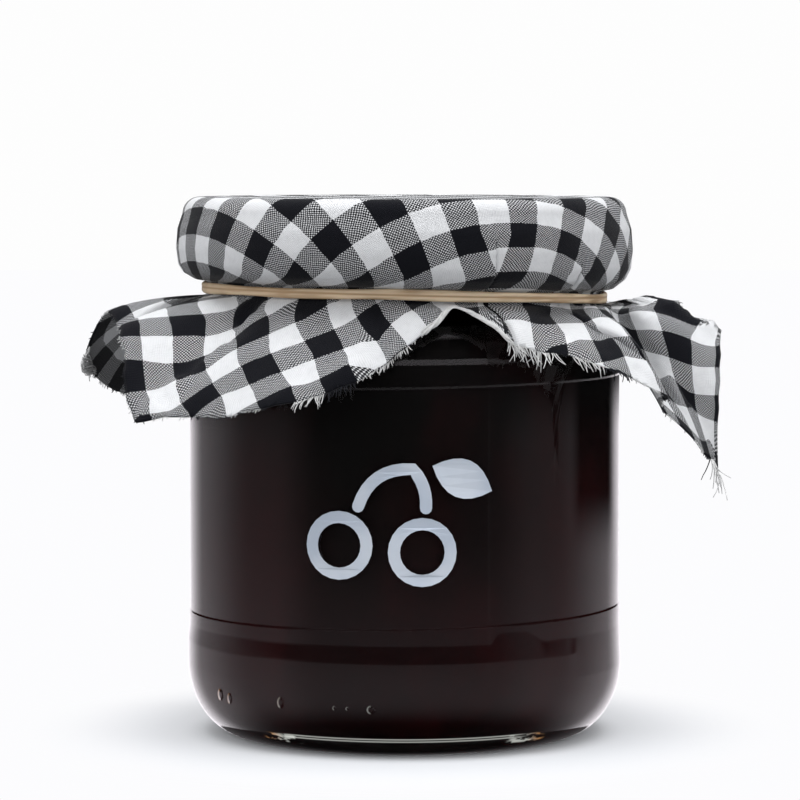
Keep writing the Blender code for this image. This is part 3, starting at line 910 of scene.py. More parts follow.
    def build_jam(self) -> bpy.types.Object:
        """Make the jam, which reaches just into the glass so that no gap shows.

        Returns:
            The new piece.
        """
        profile = self.inner(-self.jam_bite)
        reach = profile[-1][0]
        profile += [(reach, self.jam_level_z), (reach * 0.6, self.jam_level_z), (0.0, self.jam_level_z)]
        item = link("jam_filling", self.turned("jam_filling", profile, False), self.filling.make())
        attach(item, BODY)
        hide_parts("jam")
        return item


@dataclass
class TwistLid:
    """The lid, kept from the construction model under its own finish."""

    finish: EnamelFinish = field(default_factory=EnamelFinish)

    def dress(self) -> bpy.types.Object:
        """Give the lid its enamel."""
        return dress("lid", self.finish.make())


@dataclass
class RubberBand:
    """One loop of rubber, flat, with a groove between its two strands, tilted with the cloth."""

    middle_z: float = 87.9 * MM
    inner_r: float = 39.5 * MM
    height: float = 2.1 * MM
    thickness: float = 0.95 * MM
    groove: float = 0.26 * MM
    drop_right: float = 1.0 * MM
    drop_back: float = 0.7 * MM
    turns: int = 300
    height_waves: Waves = ((0.12 * MM, 3, 0.6), (0.08 * MM, 7, 2.0))
    swell_waves: Waves = ((0.08, 4, 1.0), (0.05, 9, 0.0))
    groove_share: float = 0.55
    groove_waves: Waves = ((0.45, 2, 0.5),)
    roll_waves: Waves = ((7.0, 3, 1.4),)
    finish: RubberFinish = field(default_factory=RubberFinish)

    def level(self, turn: np.ndarray) -> np.ndarray:
        """Return the height of the band's middle at each bearing in degrees."""
        angle = np.radians(turn)
        return self.middle_z - self.drop_right * np.sin(angle) + self.drop_back * np.cos(angle)

    def section(self, share: float, swell: float) -> Profile:
        """Return one cross section, as radius and height from the band's inner middle.

        Args:
            share: how deep the groove is here, from 0 to 1.
            swell: a factor on the height.

        Returns:
            The closed outline.
        """
        half = self.height / 2 * swell
        crown = self.thickness
        outline = [(0.0, -half * 0.75), (crown * 0.3, -half), (crown * 0.75, -half * 0.94)]
        outline += [(crown, -half * 0.62), (crown * 0.98, -half * 0.3)]
        outline += [(crown - self.groove * share, 0.04 * half)]
        outline += [(crown * 0.98, half * 0.34), (crown, half * 0.64)]
        outline += [(crown * 0.75, half * 0.94), (crown * 0.3, half), (0.0, half * 0.75)]
        return outline

    def build(self) -> bpy.types.Object:
        """Make the band.

        Returns:
            The new piece.
        """
        turns = np.arange(self.turns) * 360.0 / self.turns
        rows = []
        for turn, level in zip(turns, self.level(turns)):
            angle = math.radians(turn)
            wave = ripple(angle, self.height_waves)
            swell = 1.0 + ripple(angle, self.swell_waves)
            share = self.groove_share + ripple(angle, self.groove_waves)
            roll = math.radians(ripple(angle, self.roll_waves))
            row = []
            for out, up in self.section(share, swell):
                radius = self.inner_r + out * math.cos(roll) - up * math.sin(roll) * 0.5
                height = level + up * math.cos(roll) + out * math.sin(roll) + wave
                row.append((radius * math.sin(angle), -radius * math.cos(angle), height))
            rows.append(row)
        mesh = face_out(grid_mesh("band_of_rubber", np.array(rows), wrap_rows=True, wrap_columns=True))
        item = link("band_of_rubber", mesh, self.finish.make())
        soften = item.modifiers.new("soft", "SUBSURF")
        soften.levels = soften.render_levels = 1
        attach(item, BODY)
        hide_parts("rubber_band")
        return item


@dataclass
class PrintedMotif:
    """The cherries and leaf printed on the glass, kept from the construction model."""

    parts: tuple[str, ...] = ("print_cherry_left", "print_cherry_right", "print_stems", "print_leaf")
    finish: PrintFinish = field(default_factory=PrintFinish)

    def dress(self) -> None:
        """Give each printed shape its ink."""
        ink = self.finish.make()
        for name in self.parts:
            dress(name, ink)


# The cloth


class Hem(NamedTuple):
    """Where one point of the cut edge hangs, and how the cloth above it is held.

    u and v place it on the flat cloth in mm, +u to the right and +v to the back. turn is its
    bearing in degrees, reach its distance from the axis and height its height in mm. held is the
    cloth between the lid's middle and the band in mm, and swing how far round the threads are
    pulled at the band, in degrees.
    """

    u: float
    v: float
    turn: float
    reach: float
    height: float
    held: float = 68.0
    swing: float = 0.0


class Tuck(NamedTuple):
    """A fold that swallows cloth along a line running out from the lid.

    turn is its bearing at the band, lean how many degrees it drifts by the hem, half the bearing
    it swallows on each side at the band, width the bearing over which the cloth draws in, depth
    how far the swallowed cloth is pushed in, in mm, over how far the cloth right of it rides over
    the left, in mm, and above and below how strongly it shows on either side of the band.
    """

    turn: float
    lean: float
    half: float
    width: float
    depth: float
    over: float
    above: float
    below: float


class Seen(NamedTuple):
    """Where a point of the flat cloth shows in the photo.

    column and row count the stripes of the gingham, with whole numbers at their middles. across and
    down are its pixel. behind is how far in mm it lies behind the cloth's first drape there.
    """

    column: float
    row: float
    across: float
    down: float
    behind: float = 0.0


def flat_bearing(point: Hem) -> float:
    """Return a hem point's bearing on the flat cloth, in degrees."""
    return math.degrees(math.atan2(point.u, -point.v)) % 360.0


@dataclass
class Sightline:
    """The photo's camera, which turns a pixel of its 800 by 800 frame and a depth into a place."""

    distance: float = 0.742
    height: float = 0.115
    middle: tuple[float, float] = (404.5, 400.0)
    pixels: float = 3717.0
    tilt: float = 3.76

    def place(self, across: np.ndarray, down: np.ndarray, depth: np.ndarray) -> np.ndarray:
        """Return the places in metres that pixels show at given y.

        Args:
            across: the pixels' columns.
            down: the pixels' rows.
            depth: the places' y in metres.

        Returns:
            Places in the frame, with a last axis of x, y and z.
        """
        away = self.distance + depth
        fall = np.arctan((down - self.middle[1]) / self.pixels) + math.radians(self.tilt)
        return np.stack([(across - self.middle[0]) * away / self.pixels, depth,
                         self.height - away * np.tan(fall)], axis=-1)


@dataclass
class SeenCells:
    """The gingham's cells below the band, read off the photo one by one."""

    flap: tuple[Seen, ...] = (
        Seen(-1, 3, 129, 348), Seen(-1, 2, 131.5, 374.5), Seen(-1, 1, 136, 406),
        Seen(0, 4, 156, 326), Seen(0, 3, 156, 348), Seen(0, 2, 158, 378), Seen(0, 1, 163, 403),
        Seen(1, 4, 189, 325), Seen(1, 3, 189, 348), Seen(1, 2, 189.5, 372),
        Seen(2, 5, 221, 305), Seen(2, 4, 221, 323), Seen(2, 3, 219, 346),
        Seen(3, 5, 250, 305), Seen(3, 4, 247, 319))
    fold: tuple[Seen, ...] = (
        Seen(1.0, 1.75, 188, 380, -1.0), Seen(1.0, 1.5, 190, 375, 1.2), Seen(1.0, 1.3, 192, 379, 0.8),
        Seen(2.0, 2.6, 220, 356, -1.0), Seen(2.0, 2.1, 222, 343, 1.5), Seen(2.0, 1.6, 223, 356, 0.8),
        Seen(3.0, 3.7, 248, 329, -1.0), Seen(3.0, 3.05, 250, 315, 1.5), Seen(3.0, 2.35, 254, 326, 0.8))
    under: tuple[Seen, ...] = (
        Seen(1, 1, 195, 386), Seen(1, 0, 203, 398), Seen(1, -1, 209, 414),
        Seen(2, 1, 223, 368), Seen(2, 0, 230, 384), Seen(2, -1, 243, 401),
        Seen(3, 2, 256, 332), Seen(3, 1, 251, 351), Seen(3, 0, 261, 369.5), Seen(3, -1, 269, 388),
        Seen(3, -2, 276, 401), Seen(4, 3, 275, 309), Seen(4, 2, 279, 322), Seen(4, 1, 284, 340),
        Seen(4, 0, 292, 357), Seen(4, -1, 304, 378), Seen(4, -2, 311, 394),
        Seen(5, 2, 308, 312), Seen(5, 1, 314, 328), Seen(5, 0, 325.5, 345), Seen(5, -1, 332, 365),
        Seen(5, -2, 335, 381))
    middle: tuple[Seen, ...] = (
        Seen(6, 1, 344.5, 316), Seen(6, 0, 354, 334), Seen(6, -1, 371, 359.5),
        Seen(7, 1, 361, 305), Seen(7, 0, 375, 326), Seen(7, -1, 391, 346),
        Seen(8, 0, 391, 308.5), Seen(8, -1, 410, 328), Seen(9, 0, 422, 307))
    right: tuple[Seen, ...] = (
        Seen(13, -2, 494, 310.5), Seen(14, -2, 515, 310.5), Seen(14, -3, 521, 334),
        Seen(15, -2, 541, 318), Seen(15, -3, 545, 339), Seen(16, -2, 565, 316),
        Seen(16, -3, 575, 332), Seen(16, -4, 585, 350), Seen(17, -3, 595, 334),
        Seen(17, -4, 610, 352), Seen(17, -5, 618, 369), Seen(18, -2, 590, 310.5),
        Seen(18, -3, 608, 326), Seen(18, -4, 628, 348), Seen(18, -5, 636, 372))
    left_hem: tuple[Seen, ...] = (
        Seen(-1.13, 3.3, 119, 340), Seen(-1.13, 2, 120, 374), Seen(-1.13, 1.2, 126, 403),
        Seen(-1.13, 0.42, 135, 423), Seen(0, 0.37, 163, 416), Seen(1, -1.1, 209, 419),
        Seen(2, -1.62, 243, 411), Seen(3, -2.15, 277, 405), Seen(4, -2.2, 313, 396),
        Seen(5, -2.23, 340, 387), Seen(6, -1.57, 372, 371), Seen(7, -1.54, 399, 352),
        Seen(8, -1.5, 418, 338))
    right_fold: tuple[Seen, ...] = (
        Seen(18.5, -3.0, 622, 326, -1.0), Seen(18.5, -4.0, 640, 350, -1.0),
        Seen(18.5, -5.0, 655, 374, -1.0), Seen(18.5, -6.0, 668, 398, -1.0),
        Seen(21.0, -3.0, 616, 334, 3.5), Seen(21.0, -4.0, 630, 358, 4.0),
        Seen(21.0, -5.0, 648, 384, 4.0), Seen(21.0, -6.0, 664, 410, 3.0),
        Seen(23.5, -1.0, 632, 319, 1.5), Seen(23.5, -2.0, 641, 342, 1.5),
        Seen(23.5, -3.0, 653, 368, 1.5), Seen(23.5, -4.0, 668, 394, 1.5),
        Seen(23.5, -5.0, 684, 416, 1.0), Seen(23.5, -6.0, 696, 440, 0.5))
    right_flap: tuple[Seen, ...] = (
        Seen(24, 1, 630, 301), Seen(25, 1, 662, 301), Seen(25.5, 0.9, 680, 301),
        Seen(25.5, -0.1, 683, 318), Seen(26.4, -1.0, 719, 334),
        Seen(24, 0, 636, 306), Seen(24, -1, 643, 319), Seen(24, -2, 652, 339),
        Seen(24, -3, 662, 363), Seen(24, -4, 676, 390), Seen(25, 0, 668, 304),
        Seen(25, -1, 675, 321), Seen(25, -2, 680, 347), Seen(25, -3, 682, 375),
        Seen(25, -4, 687, 402), Seen(25, -5, 697, 425), Seen(26, -1.25, 704, 340),
        Seen(26, -2, 704, 356), Seen(26, -3, 704, 382), Seen(26, -4, 705, 408),
        Seen(26, -5, 707, 431), Seen(26, -6, 714, 458), Seen(26.4, -2, 719, 354),
        Seen(26.4, -3, 719, 381), Seen(26.4, -4, 718, 407), Seen(26.4, -5, 716, 430),
        Seen(26.4, -6, 718, 474))

    def all(self) -> tuple[Seen, ...]:
        """Return every seen point."""
        return (self.flap + self.fold + self.under + self.left_hem + self.middle + self.right
                + self.right_fold + self.right_flap)


@dataclass
class ClothCover:
    """The gingham cover: a rectangle over the lid, drawn in at the band and flaring below it."""

    right: float = 90.5
    torn: float = 84.1
    back: float = 77.5
    left: float = 85.0
    low_corner: float = 59.8
    long_corner: float = 100.5
    rotation: float = 24.5
    thickness: float = 0.36 * MM
    top_z: float = 106.5 * MM
    neck_r: float = 39.0 * MM
    band_reach: float = 1.6 * MM
    crown_path: float = 44.5 * MM
    crown_cloth: float = 43.0 * MM
    gather_start: float = 57.0 * MM
    lean_start: float = 42.0 * MM
    lean_lead: float = 5.0 * MM
    tuck_start: float = 49.0 * MM
    tuck_run: float = 10.0 * MM
    off_glass: float = 0.5 * MM
    fade_in: float = 3.0 * MM
    rim_run: float = 8.0 * MM
    rim_sink: float = 0.8 * MM
    lift_share: float = 0.6
    squeezed: float = 0.04
    lip_width: float = 3.5
    lip_low: float = 0.4
    pucker_waves: Waves = ((1.0, 23, 0.7), (0.7, 37, 2.1), (0.5, 11, 1.0))
    pucker_rim: float = 0.10 * MM
    pucker_skirt: float = 0.45 * MM
    lid_corner: tuple[float, float] = (40.9 * MM, 103.6 * MM)
    corner_r: float = 3.1 * MM
    rim_section: tuple[tuple[float, float], ...] = (
        (45.0, 100.5), (45.3, 96.5), (44.9, 93.1), (43.9, 91.3), (41.6, 89.7), (39.5, 89.3), (39.0, 88.9))
    sheet_out: float = 0.72
    sheet_down: float = 0.16
    spacing: float = 0.85
    tucks: tuple[Tuck, ...] = (
        Tuck(22.5, 1.0, 4.0, 13.0, 1.5, 0.3, 1.0, 0.6),
        Tuck(49.0, 2.0, 1.6, 8.0, 0.8, 0.3, 0.8, 0.5),
        Tuck(110.0, 0.0, 4.0, 14.0, 1.2, 0.4, 1.0, 0.8),
        Tuck(-80.0, 0.0, 3.0, 12.0, 1.0, -0.4, 1.0, 0.5),
        Tuck(200.0, 0.0, 4.0, 14.0, 1.2, 0.4, 1.0, 0.8),
    )
    seen: SeenCells = field(default_factory=SeenCells)
    sight: Sightline = field(default_factory=Sightline)
    anchors: int = 60
    ease: float = 0.4
    band: RubberBand = field(default_factory=RubberBand)
    jar: GlassJar = field(default_factory=GlassJar)
    finish: GinghamFinish = field(default_factory=GinghamFinish)
    yarns: YarnFinish = field(default_factory=YarnFinish)

    def hems(self) -> list[Hem]:
        """Return the hanging points of the cut edge, counter-clockwise from the front's middle.

        Returns:
            The points, each with the way the cloth hangs there.
        """
        right, torn, back, left = self.right, self.torn, self.back, -self.left
        return [
            Hem(4.7, -81.5, 21.7, 48.4, 79.5, 73.0, -4.0),
            Hem(17.4, -84.8, 32.1, 50.8, 78.9, 74.5, 0.0),
            Hem(23.8, -90.0, 39.1, 54.8, 76.2, 74.5, 3.0),
            Hem(36.5, -97.0, 46.9, 60.0, 71.8, 73.0, 8.5),
            Hem(63.0, -100.0, 55.9, 64.1, 63.4, 69.0, 9.0),
            Hem(right, -self.long_corner, 61.9, 67.9, 52.6, 69.0, 4.0),
            Hem(right, -78, 66.0, 66.4, 68.0, 68.0, 0.0),
            Hem(right, -68.3, 70.3, 65.1, 80.8, 68.0, -3.0),
            Hem(torn, -63.3, 72.0, 57.1, 83.0, 68.0, -3.0),
            Hem(torn, -55, 78.0, 55.4, 85.5),
            Hem(torn, -40, 88.0, 53.0, 80.0),
            Hem(torn, -24, 99.0, 59.0, 74.0),
            Hem(torn, -8, 108.0, 62.0, 68.0),
            Hem(torn, 15, 119.0, 65.5, 83.0),
            Hem(torn, 45, 134.0, 60.0, 69.0),
            Hem(torn, back, 143.0, 65.0, 62.0),
            Hem(62, back, 154.0, 57.5, 61.0),
            Hem(38, back, 167.0, 53.0, 73.0),
            Hem(15, back, 180.0, 49.5, 69.5),
            Hem(-7, back, 192.0, 52.5, 76.5),
            Hem(-30, back, 206.0, 51.0, 67.5),
            Hem(-56, back, 220.0, 62.5, 70.5),
            Hem(left, back, 233.5, 80.5, 71.5),
            Hem(left, 48, 245.0, 63.5, 66.0, 68.0, -3.0),
            Hem(left, 22, 262.0, 65.0, 73.0, 68.0, -10.0),
            Hem(left, 5, 272.0, 59.0, 84.0, 68.0, -15.0),
            Hem(left, -18, 285.0, 55.0, 74.0, 68.0, -20.0),
            Hem(left, -32, 293.4, 60.3, 80.2, 68.0, -18.0),
            Hem(left, -45, 300.7, 62.7, 74.1, 68.0, -12.5),
            Hem(left, -self.low_corner, 309.6, 65.9, 64.5, 68.0, -11.5),
            Hem(-77.8, -60.0, 314.1, 63.2, 66.1, 68.0, -11.0),
            Hem(-71.5, -69.3, 322.1, 59.5, 65.6, 67.5, -8.5),
            Hem(-58.8, -76.0, 335.4, 57.2, 68.5, 66.5, -6.0),
            Hem(-46.1, -76.5, 347.0, 53.4, 71.9, 66.0, -5.5),
            Hem(-39.7, -72.3, 353.0, 49.9, 74.7, 66.0, -5.3),
            Hem(-27.0, -71.9, 2.7, 45.6, 80.7, 67.0, -3.5),
            Hem(-20.7, -71.8, 7.7, 43.9, 83.4, 68.0, -2.0),
            Hem(-13.0, -71.8, 12.3, 42.0, 86.3, 70.0, -2.5),
            Hem(-1.6, -74.5, 18.9, 44.9, 83.4, 72.0, -3.5),
        ]

    def rim_path(self) -> np.ndarray:
        """Return the section from the lid's middle over its rim to below the band.

        Returns:
            Points of radius and height.
        """
        section = [(0.0, self.top_z), (20 * MM, self.top_z), (36 * MM, self.top_z)]
        section += arc(self.lid_corner, (self.corner_r, self.corner_r), 84, 0, 7)
        section += [(radius * MM, level * MM) for radius, level in self.rim_section]
        section.append((self.neck_r, self.band.middle_z - self.band_reach))
        return np.array(section)

    def edge_distance(self, bearing: np.ndarray) -> np.ndarray:
        """Return how far the flat cut edge is from the lid's middle at each flat bearing.

        Args:
            bearing: flat bearings in degrees.

        Returns:
            Distances in metres.
        """
        corners = np.array([(p.u, p.v) for p in self.hems()]) * MM
        angles = np.degrees(np.arctan2(corners[:, 0], -corners[:, 1])) % 360.0
        following = np.searchsorted(angles, bearing % 360.0, side="right") % len(corners)
        start, end = corners[following - 1], corners[following]
        along = end - start
        angle = np.radians(bearing)
        ray_u, ray_v = np.sin(angle), -np.cos(angle)
        reach = start[..., 0] * along[..., 1] - start[..., 1] * along[..., 0]
        return reach / (ray_u * along[..., 1] - ray_v * along[..., 0])

    def glass_radius(self, level: np.ndarray) -> np.ndarray:
        """Return the glass's radius at each height from its body to its neck.

        Args:
            level: heights in metres.

        Returns:
            Radii in metres.
        """
        jar = self.jar
        climb = (level - jar.shoulder_low_z) / (jar.shoulder_high_z - jar.shoulder_low_z)
        return jar.neck_r + (jar.body_r - jar.neck_r) * np.sqrt(1.0 - np.clip(climb, 0.0, 1.0)**2)

    def between_hems(self, bearing: np.ndarray, values: list[float]) -> np.ndarray:
        """Read a value that each hem point gives at any flat bearing between them."""
        flat = np.array([flat_bearing(point) for point in self.hems()])
        return through_points(bearing, flat, np.array(values))

    def held_cloth(self, bearing: np.ndarray) -> np.ndarray:
        """Return how much cloth lies between the lid's middle and the band at each flat bearing."""
        return self.between_hems(bearing, [point.held * MM for point in self.hems()])

    @cached_property
    def slide(self) -> tuple[np.ndarray, np.ndarray]:
        """Return the flat places that are tied down and the weights that carry the seen cells home.

        The moves between those places follow the smoothest sheet through them, which is at rest
        along the band and along the edges that can't be seen.

        Returns:
            The flat places, and one weight in x, y and z for each.
        """
        cells = np.array(self.seen.all())
        finish = self.finish
        spots = np.stack([finish.column_start + finish.stripe * (cells[:, 0] + 0.5),
                          finish.row_start + finish.stripe * (cells[:, 1] + 0.5)], axis=-1) * MM
        first = self.first_drape(spots[:, 0], spots[:, 1])
        depth = first[:, 1] + cells[:, 4] * MM
        moves = self.sight.place(cells[:, 2], cells[:, 3], depth) - first
        around = np.arange(self.anchors) * 360.0 / self.anchors
        held = self.held_cloth(around) * 1.01
        rest = [np.stack([held * np.sin(np.radians(around)), -held * np.cos(np.radians(around))], axis=-1)]
        rest.append(np.array([(p.u, p.v) for p in self.hems() if 75.0 <= p.turn <= 290.0]) * MM)
        tied = np.concatenate([spots, *rest])
        moves = np.concatenate([moves, np.zeros((len(tied) - len(spots), 3))])
        gaps = np.linalg.norm(tied[:, None] - tied[None], axis=-1)
        return tied, np.linalg.solve(gaps - np.eye(len(tied)) * self.ease * MM, moves)

    def drape(self, u: np.ndarray, v: np.ndarray) -> np.ndarray:
        """Place points of the flat cloth on the dressed jar, with the seen cells where they show.

        Args:
            u: flat places to the right of the lid's middle, in metres.
            v: flat places behind it, in metres.

        Returns:
            Places in the frame, with a last axis of x, y and z.
        """
        places = self.first_drape(u, v)
        bearing = np.degrees(np.arctan2(u, -v)) % 360.0
        held = self.held_cloth(bearing)
        share = smooth_step((np.hypot(u, v) - held) / self.fade_in)
        tied, weights = self.slide
        spots = np.stack([u, v], axis=-1)
        moves = np.zeros_like(places)
        for i in range(len(tied)):
            moves += np.linalg.norm(spots - tied[i], axis=-1)[..., None] * weights[i]
        places = places + moves * share[..., None]
        reach = np.hypot(places[..., 0], places[..., 1])
        least = self.glass_radius(places[..., 2]) + self.off_glass
        out = np.where(share > 0, np.maximum(least / np.maximum(reach, 1e-9), 1.0), 1.0)
        return places * np.stack([out, out, np.ones_like(out)], axis=-1)

    def first_drape(self, u: np.ndarray, v: np.ndarray) -> np.ndarray:
        """Hang the flat cloth by the points of its cut edge.

        Args:
            u: flat places to the right of the lid's middle, in metres.
            v: flat places behind it, in metres.

        Returns:
            Places in the frame, with a last axis of x, y and z.
        """
        points = self.hems()
        bearing = np.degrees(np.arctan2(u, -v)) % 360.0
        hem_pull = self.between_hems(
            bearing, [(p.turn - flat_bearing(p) - self.rotation + 180.0) % 360.0 - 180.0 for p in points])
        neck_pull = self.between_hems(bearing, [p.swing for p in points])
        hem_r = self.between_hems(bearing, [p.reach * MM for p in points])
        hem_z = self.between_hems(bearing, [p.height * MM for p in points])
        held = self.held_cloth(bearing)
        distance = np.hypot(u, v)
        section = self.rim_path()
        steps = np.linalg.norm(np.diff(section, axis=0), axis=1)
        travelled = np.concatenate([[0.0], np.cumsum(steps)])
        neck = travelled[-1]
        slack = (neck - self.crown_path) / (held - self.crown_cloth)
        path = np.where(distance < self.crown_cloth, distance * self.crown_path / self.crown_cloth,
                        self.crown_path + (distance - self.crown_cloth) * slack)
        down = np.clip((distance - held) / np.maximum(self.edge_distance(bearing) - held, 1e-6), 0.0, 1.0)
        gather = smooth_step((path - self.gather_start) / (neck - self.gather_start))
        on_skirt = down * (2 - down)
        pull = np.where(path < neck, neck_pull * gather, neck_pull + (hem_pull - neck_pull) * on_skirt)
        turn = bearing + self.rotation + pull
        gathered = (path - self.tuck_start) / self.tuck_run
        turn, sunk, lift = self.tuck_in(turn, gathered, down, path < neck)
        band_z = self.band.level(turn)
        lean_end = neck - self.lean_lead
        lean = np.clip((path - self.lean_start) / (lean_end - self.lean_start), 0.0, 1.0)**2
        rim_r = np.interp(path, travelled, section[:, 0])
        rim_z = np.interp(path, travelled, section[:, 1]) + (band_z - self.band.middle_z) * lean
        start_z = band_z - self.band_reach
        out, drop = hem_r - self.neck_r, start_z - hem_z
        bend = 2 * down * (1 - down)
        skirt_r = self.neck_r + out * (bend * self.sheet_out + down**2)
        skirt_z = start_z - drop * (bend * self.sheet_down + down**2)
        rim_room = np.clip((path - self.lean_start) / self.rim_run, 0.0, 1.0)
        skirt_room = smooth_step(down * 4)
        rim_r = rim_r - np.minimum(sunk, self.rim_sink) * rim_room
        skirt_r = skirt_r - (sunk - lift) * skirt_room
        skirt_r = np.maximum(skirt_r, self.glass_radius(skirt_z) + self.off_glass)
        radius = np.where(path < neck, rim_r, skirt_r)
        level = np.where(path < neck, rim_z, skirt_z + lift * skirt_room * self.lift_share)
        radius = radius + self.puckers(turn, path, neck, down)
        angle = np.radians(turn)
        return np.stack([radius * np.sin(angle), -radius * np.cos(angle), level], axis=-1)

    def tuck_in(self, turn: np.ndarray, gather: np.ndarray, down: np.ndarray,
                on_rim: np.ndarray) -> tuple[np.ndarray, np.ndarray, np.ndarray]:
        """Swallow cloth in the tucks.

        Args:
            turn: the bearings before tucking, in degrees.
            gather: how strongly each point on the rim is gathered, full at 1.
            down: how far towards the hem it lies on the skirt, from 0 to 1.
            on_rim: whether it lies on the rim.

        Returns:
            The tucked bearings, how far each point is sunk, and how far it is lifted, in metres.
        """
        sunk = np.zeros_like(turn)
        lift = np.zeros_like(turn)
        for tuck in self.tucks:
            rim_share = tuck.above * np.clip(gather, 0.0, 1.0)
            strength = np.where(on_rim, rim_share, tuck.above + (tuck.below - tuck.above) * down)
            middle = tuck.turn + tuck.lean * down
            away = (turn - middle + 180.0) % 360.0 - 180.0
            half = tuck.half * strength
            size = np.abs(away)
            lip = half * self.squeezed
            drawn = np.where(size < half, size * self.squeezed,
                             (size - half) * (tuck.width - lip) / (tuck.width - half) + lip)
            drawn = np.where(size < tuck.width, drawn, size)
            turn = turn + np.sign(away) * (drawn - size)
            inside = np.clip(1 - size / np.maximum(half, 1e-6), 0.0, 1.0)
            sunk = sunk + tuck.depth * MM * strength * smooth_step(inside * 2)
            edge = np.exp(-np.maximum(size - half, 0.0) / self.lip_width)
            edge = edge * np.where(size < half, self.lip_low, 1.0)
            rides = np.where(away * tuck.over > 0, 1.0, 0.0)
            lift = lift + abs(tuck.over) * MM * strength * edge * rides
        return turn, sunk, lift

    def puckers(self, turn: np.ndarray, distance: np.ndarray, neck: float, down: np.ndarray) -> np.ndarray:
        """Return the small radial waves that the band gathers in.

        Args:
            turn: bearings in degrees.
            distance: flat distances from the lid's middle.
            neck: the flat distance to the band.
            down: how far towards the hem each point lies, from 0 to 1.

        Returns:
            Radial moves in metres.
        """
        above = smooth_step((distance - neck + 9 * MM) / (5 * MM)) * (distance < neck)
        above = above * smooth_step((neck - distance) / (3 * MM))
        below = smooth_step(down * 5) * (1 - down) * (distance >= neck)
        waves = ripple(np.radians(turn), self.pucker_waves)
        return waves * (self.pucker_rim * above + self.pucker_skirt * below)

    def grid(self) -> tuple[np.ndarray, np.ndarray, np.ndarray]:
        """Return the flat cloth's grid of u and v in metres, drawn in to the cut edge.

        Returns:
            u, v, and whether each point first lay outside the cut edge.
        """
        front = self.long_corner
        across = np.linspace(-self.left, self.right, int((self.left + self.right) / self.spacing) + 1)
        along = np.linspace(-front, self.back, int((front + self.back) / self.spacing) + 1)
        u, v = np.meshgrid(across * MM, along * MM)
        share = self.edge_distance(np.degrees(np.arctan2(u, -v)) % 360.0) / np.maximum(np.hypot(u, v), 1e-9)
        inward = np.minimum(share, 1.0)
        return u * inward, v * inward, share < 1.0 - 1e-6

    def trim(self, mesh: bpy.types.Mesh, outside: np.ndarray) -> None:
        """Remove the faces that lay wholly outside the cut edge.

        Args:
            mesh: the cloth's mesh.
            outside: whether each vertex first lay outside the cut edge.
        """
        work = bmesh.new()
        work.from_mesh(mesh)
        spare = [face for face in work.faces if all(outside[vertex.index] for vertex in face.verts)]
        bmesh.ops.delete(work, geom=spare, context="FACES")
        work.to_mesh(mesh)
        work.free()

    def build(self) -> bpy.types.Object:
        """Make the cloth with its fringe, which together stand for the model's cover.

        Returns:
            The cloth.
        """
        u, v, outside = self.grid()
        mesh = grid_mesh("gingham_cloth", self.drape(u, v))
        finish = self.finish
        write_map(mesh, "flat", np.stack([(u.ravel() / MM - finish.low_u) / finish.span,
                                          (v.ravel() / MM - finish.low_v) / finish.span], axis=-1))
        self.trim(mesh, outside.ravel())
        cloth = link("gingham_cloth", mesh, finish.make())
        body = cloth.modifiers.new("thickness", "SOLIDIFY")
        body.thickness = self.thickness
        body.offset = 0.0
        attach(cloth, BODY)
        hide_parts("cloth_cover")
        fringe = FrayedEdge(self).build()
        return cloth


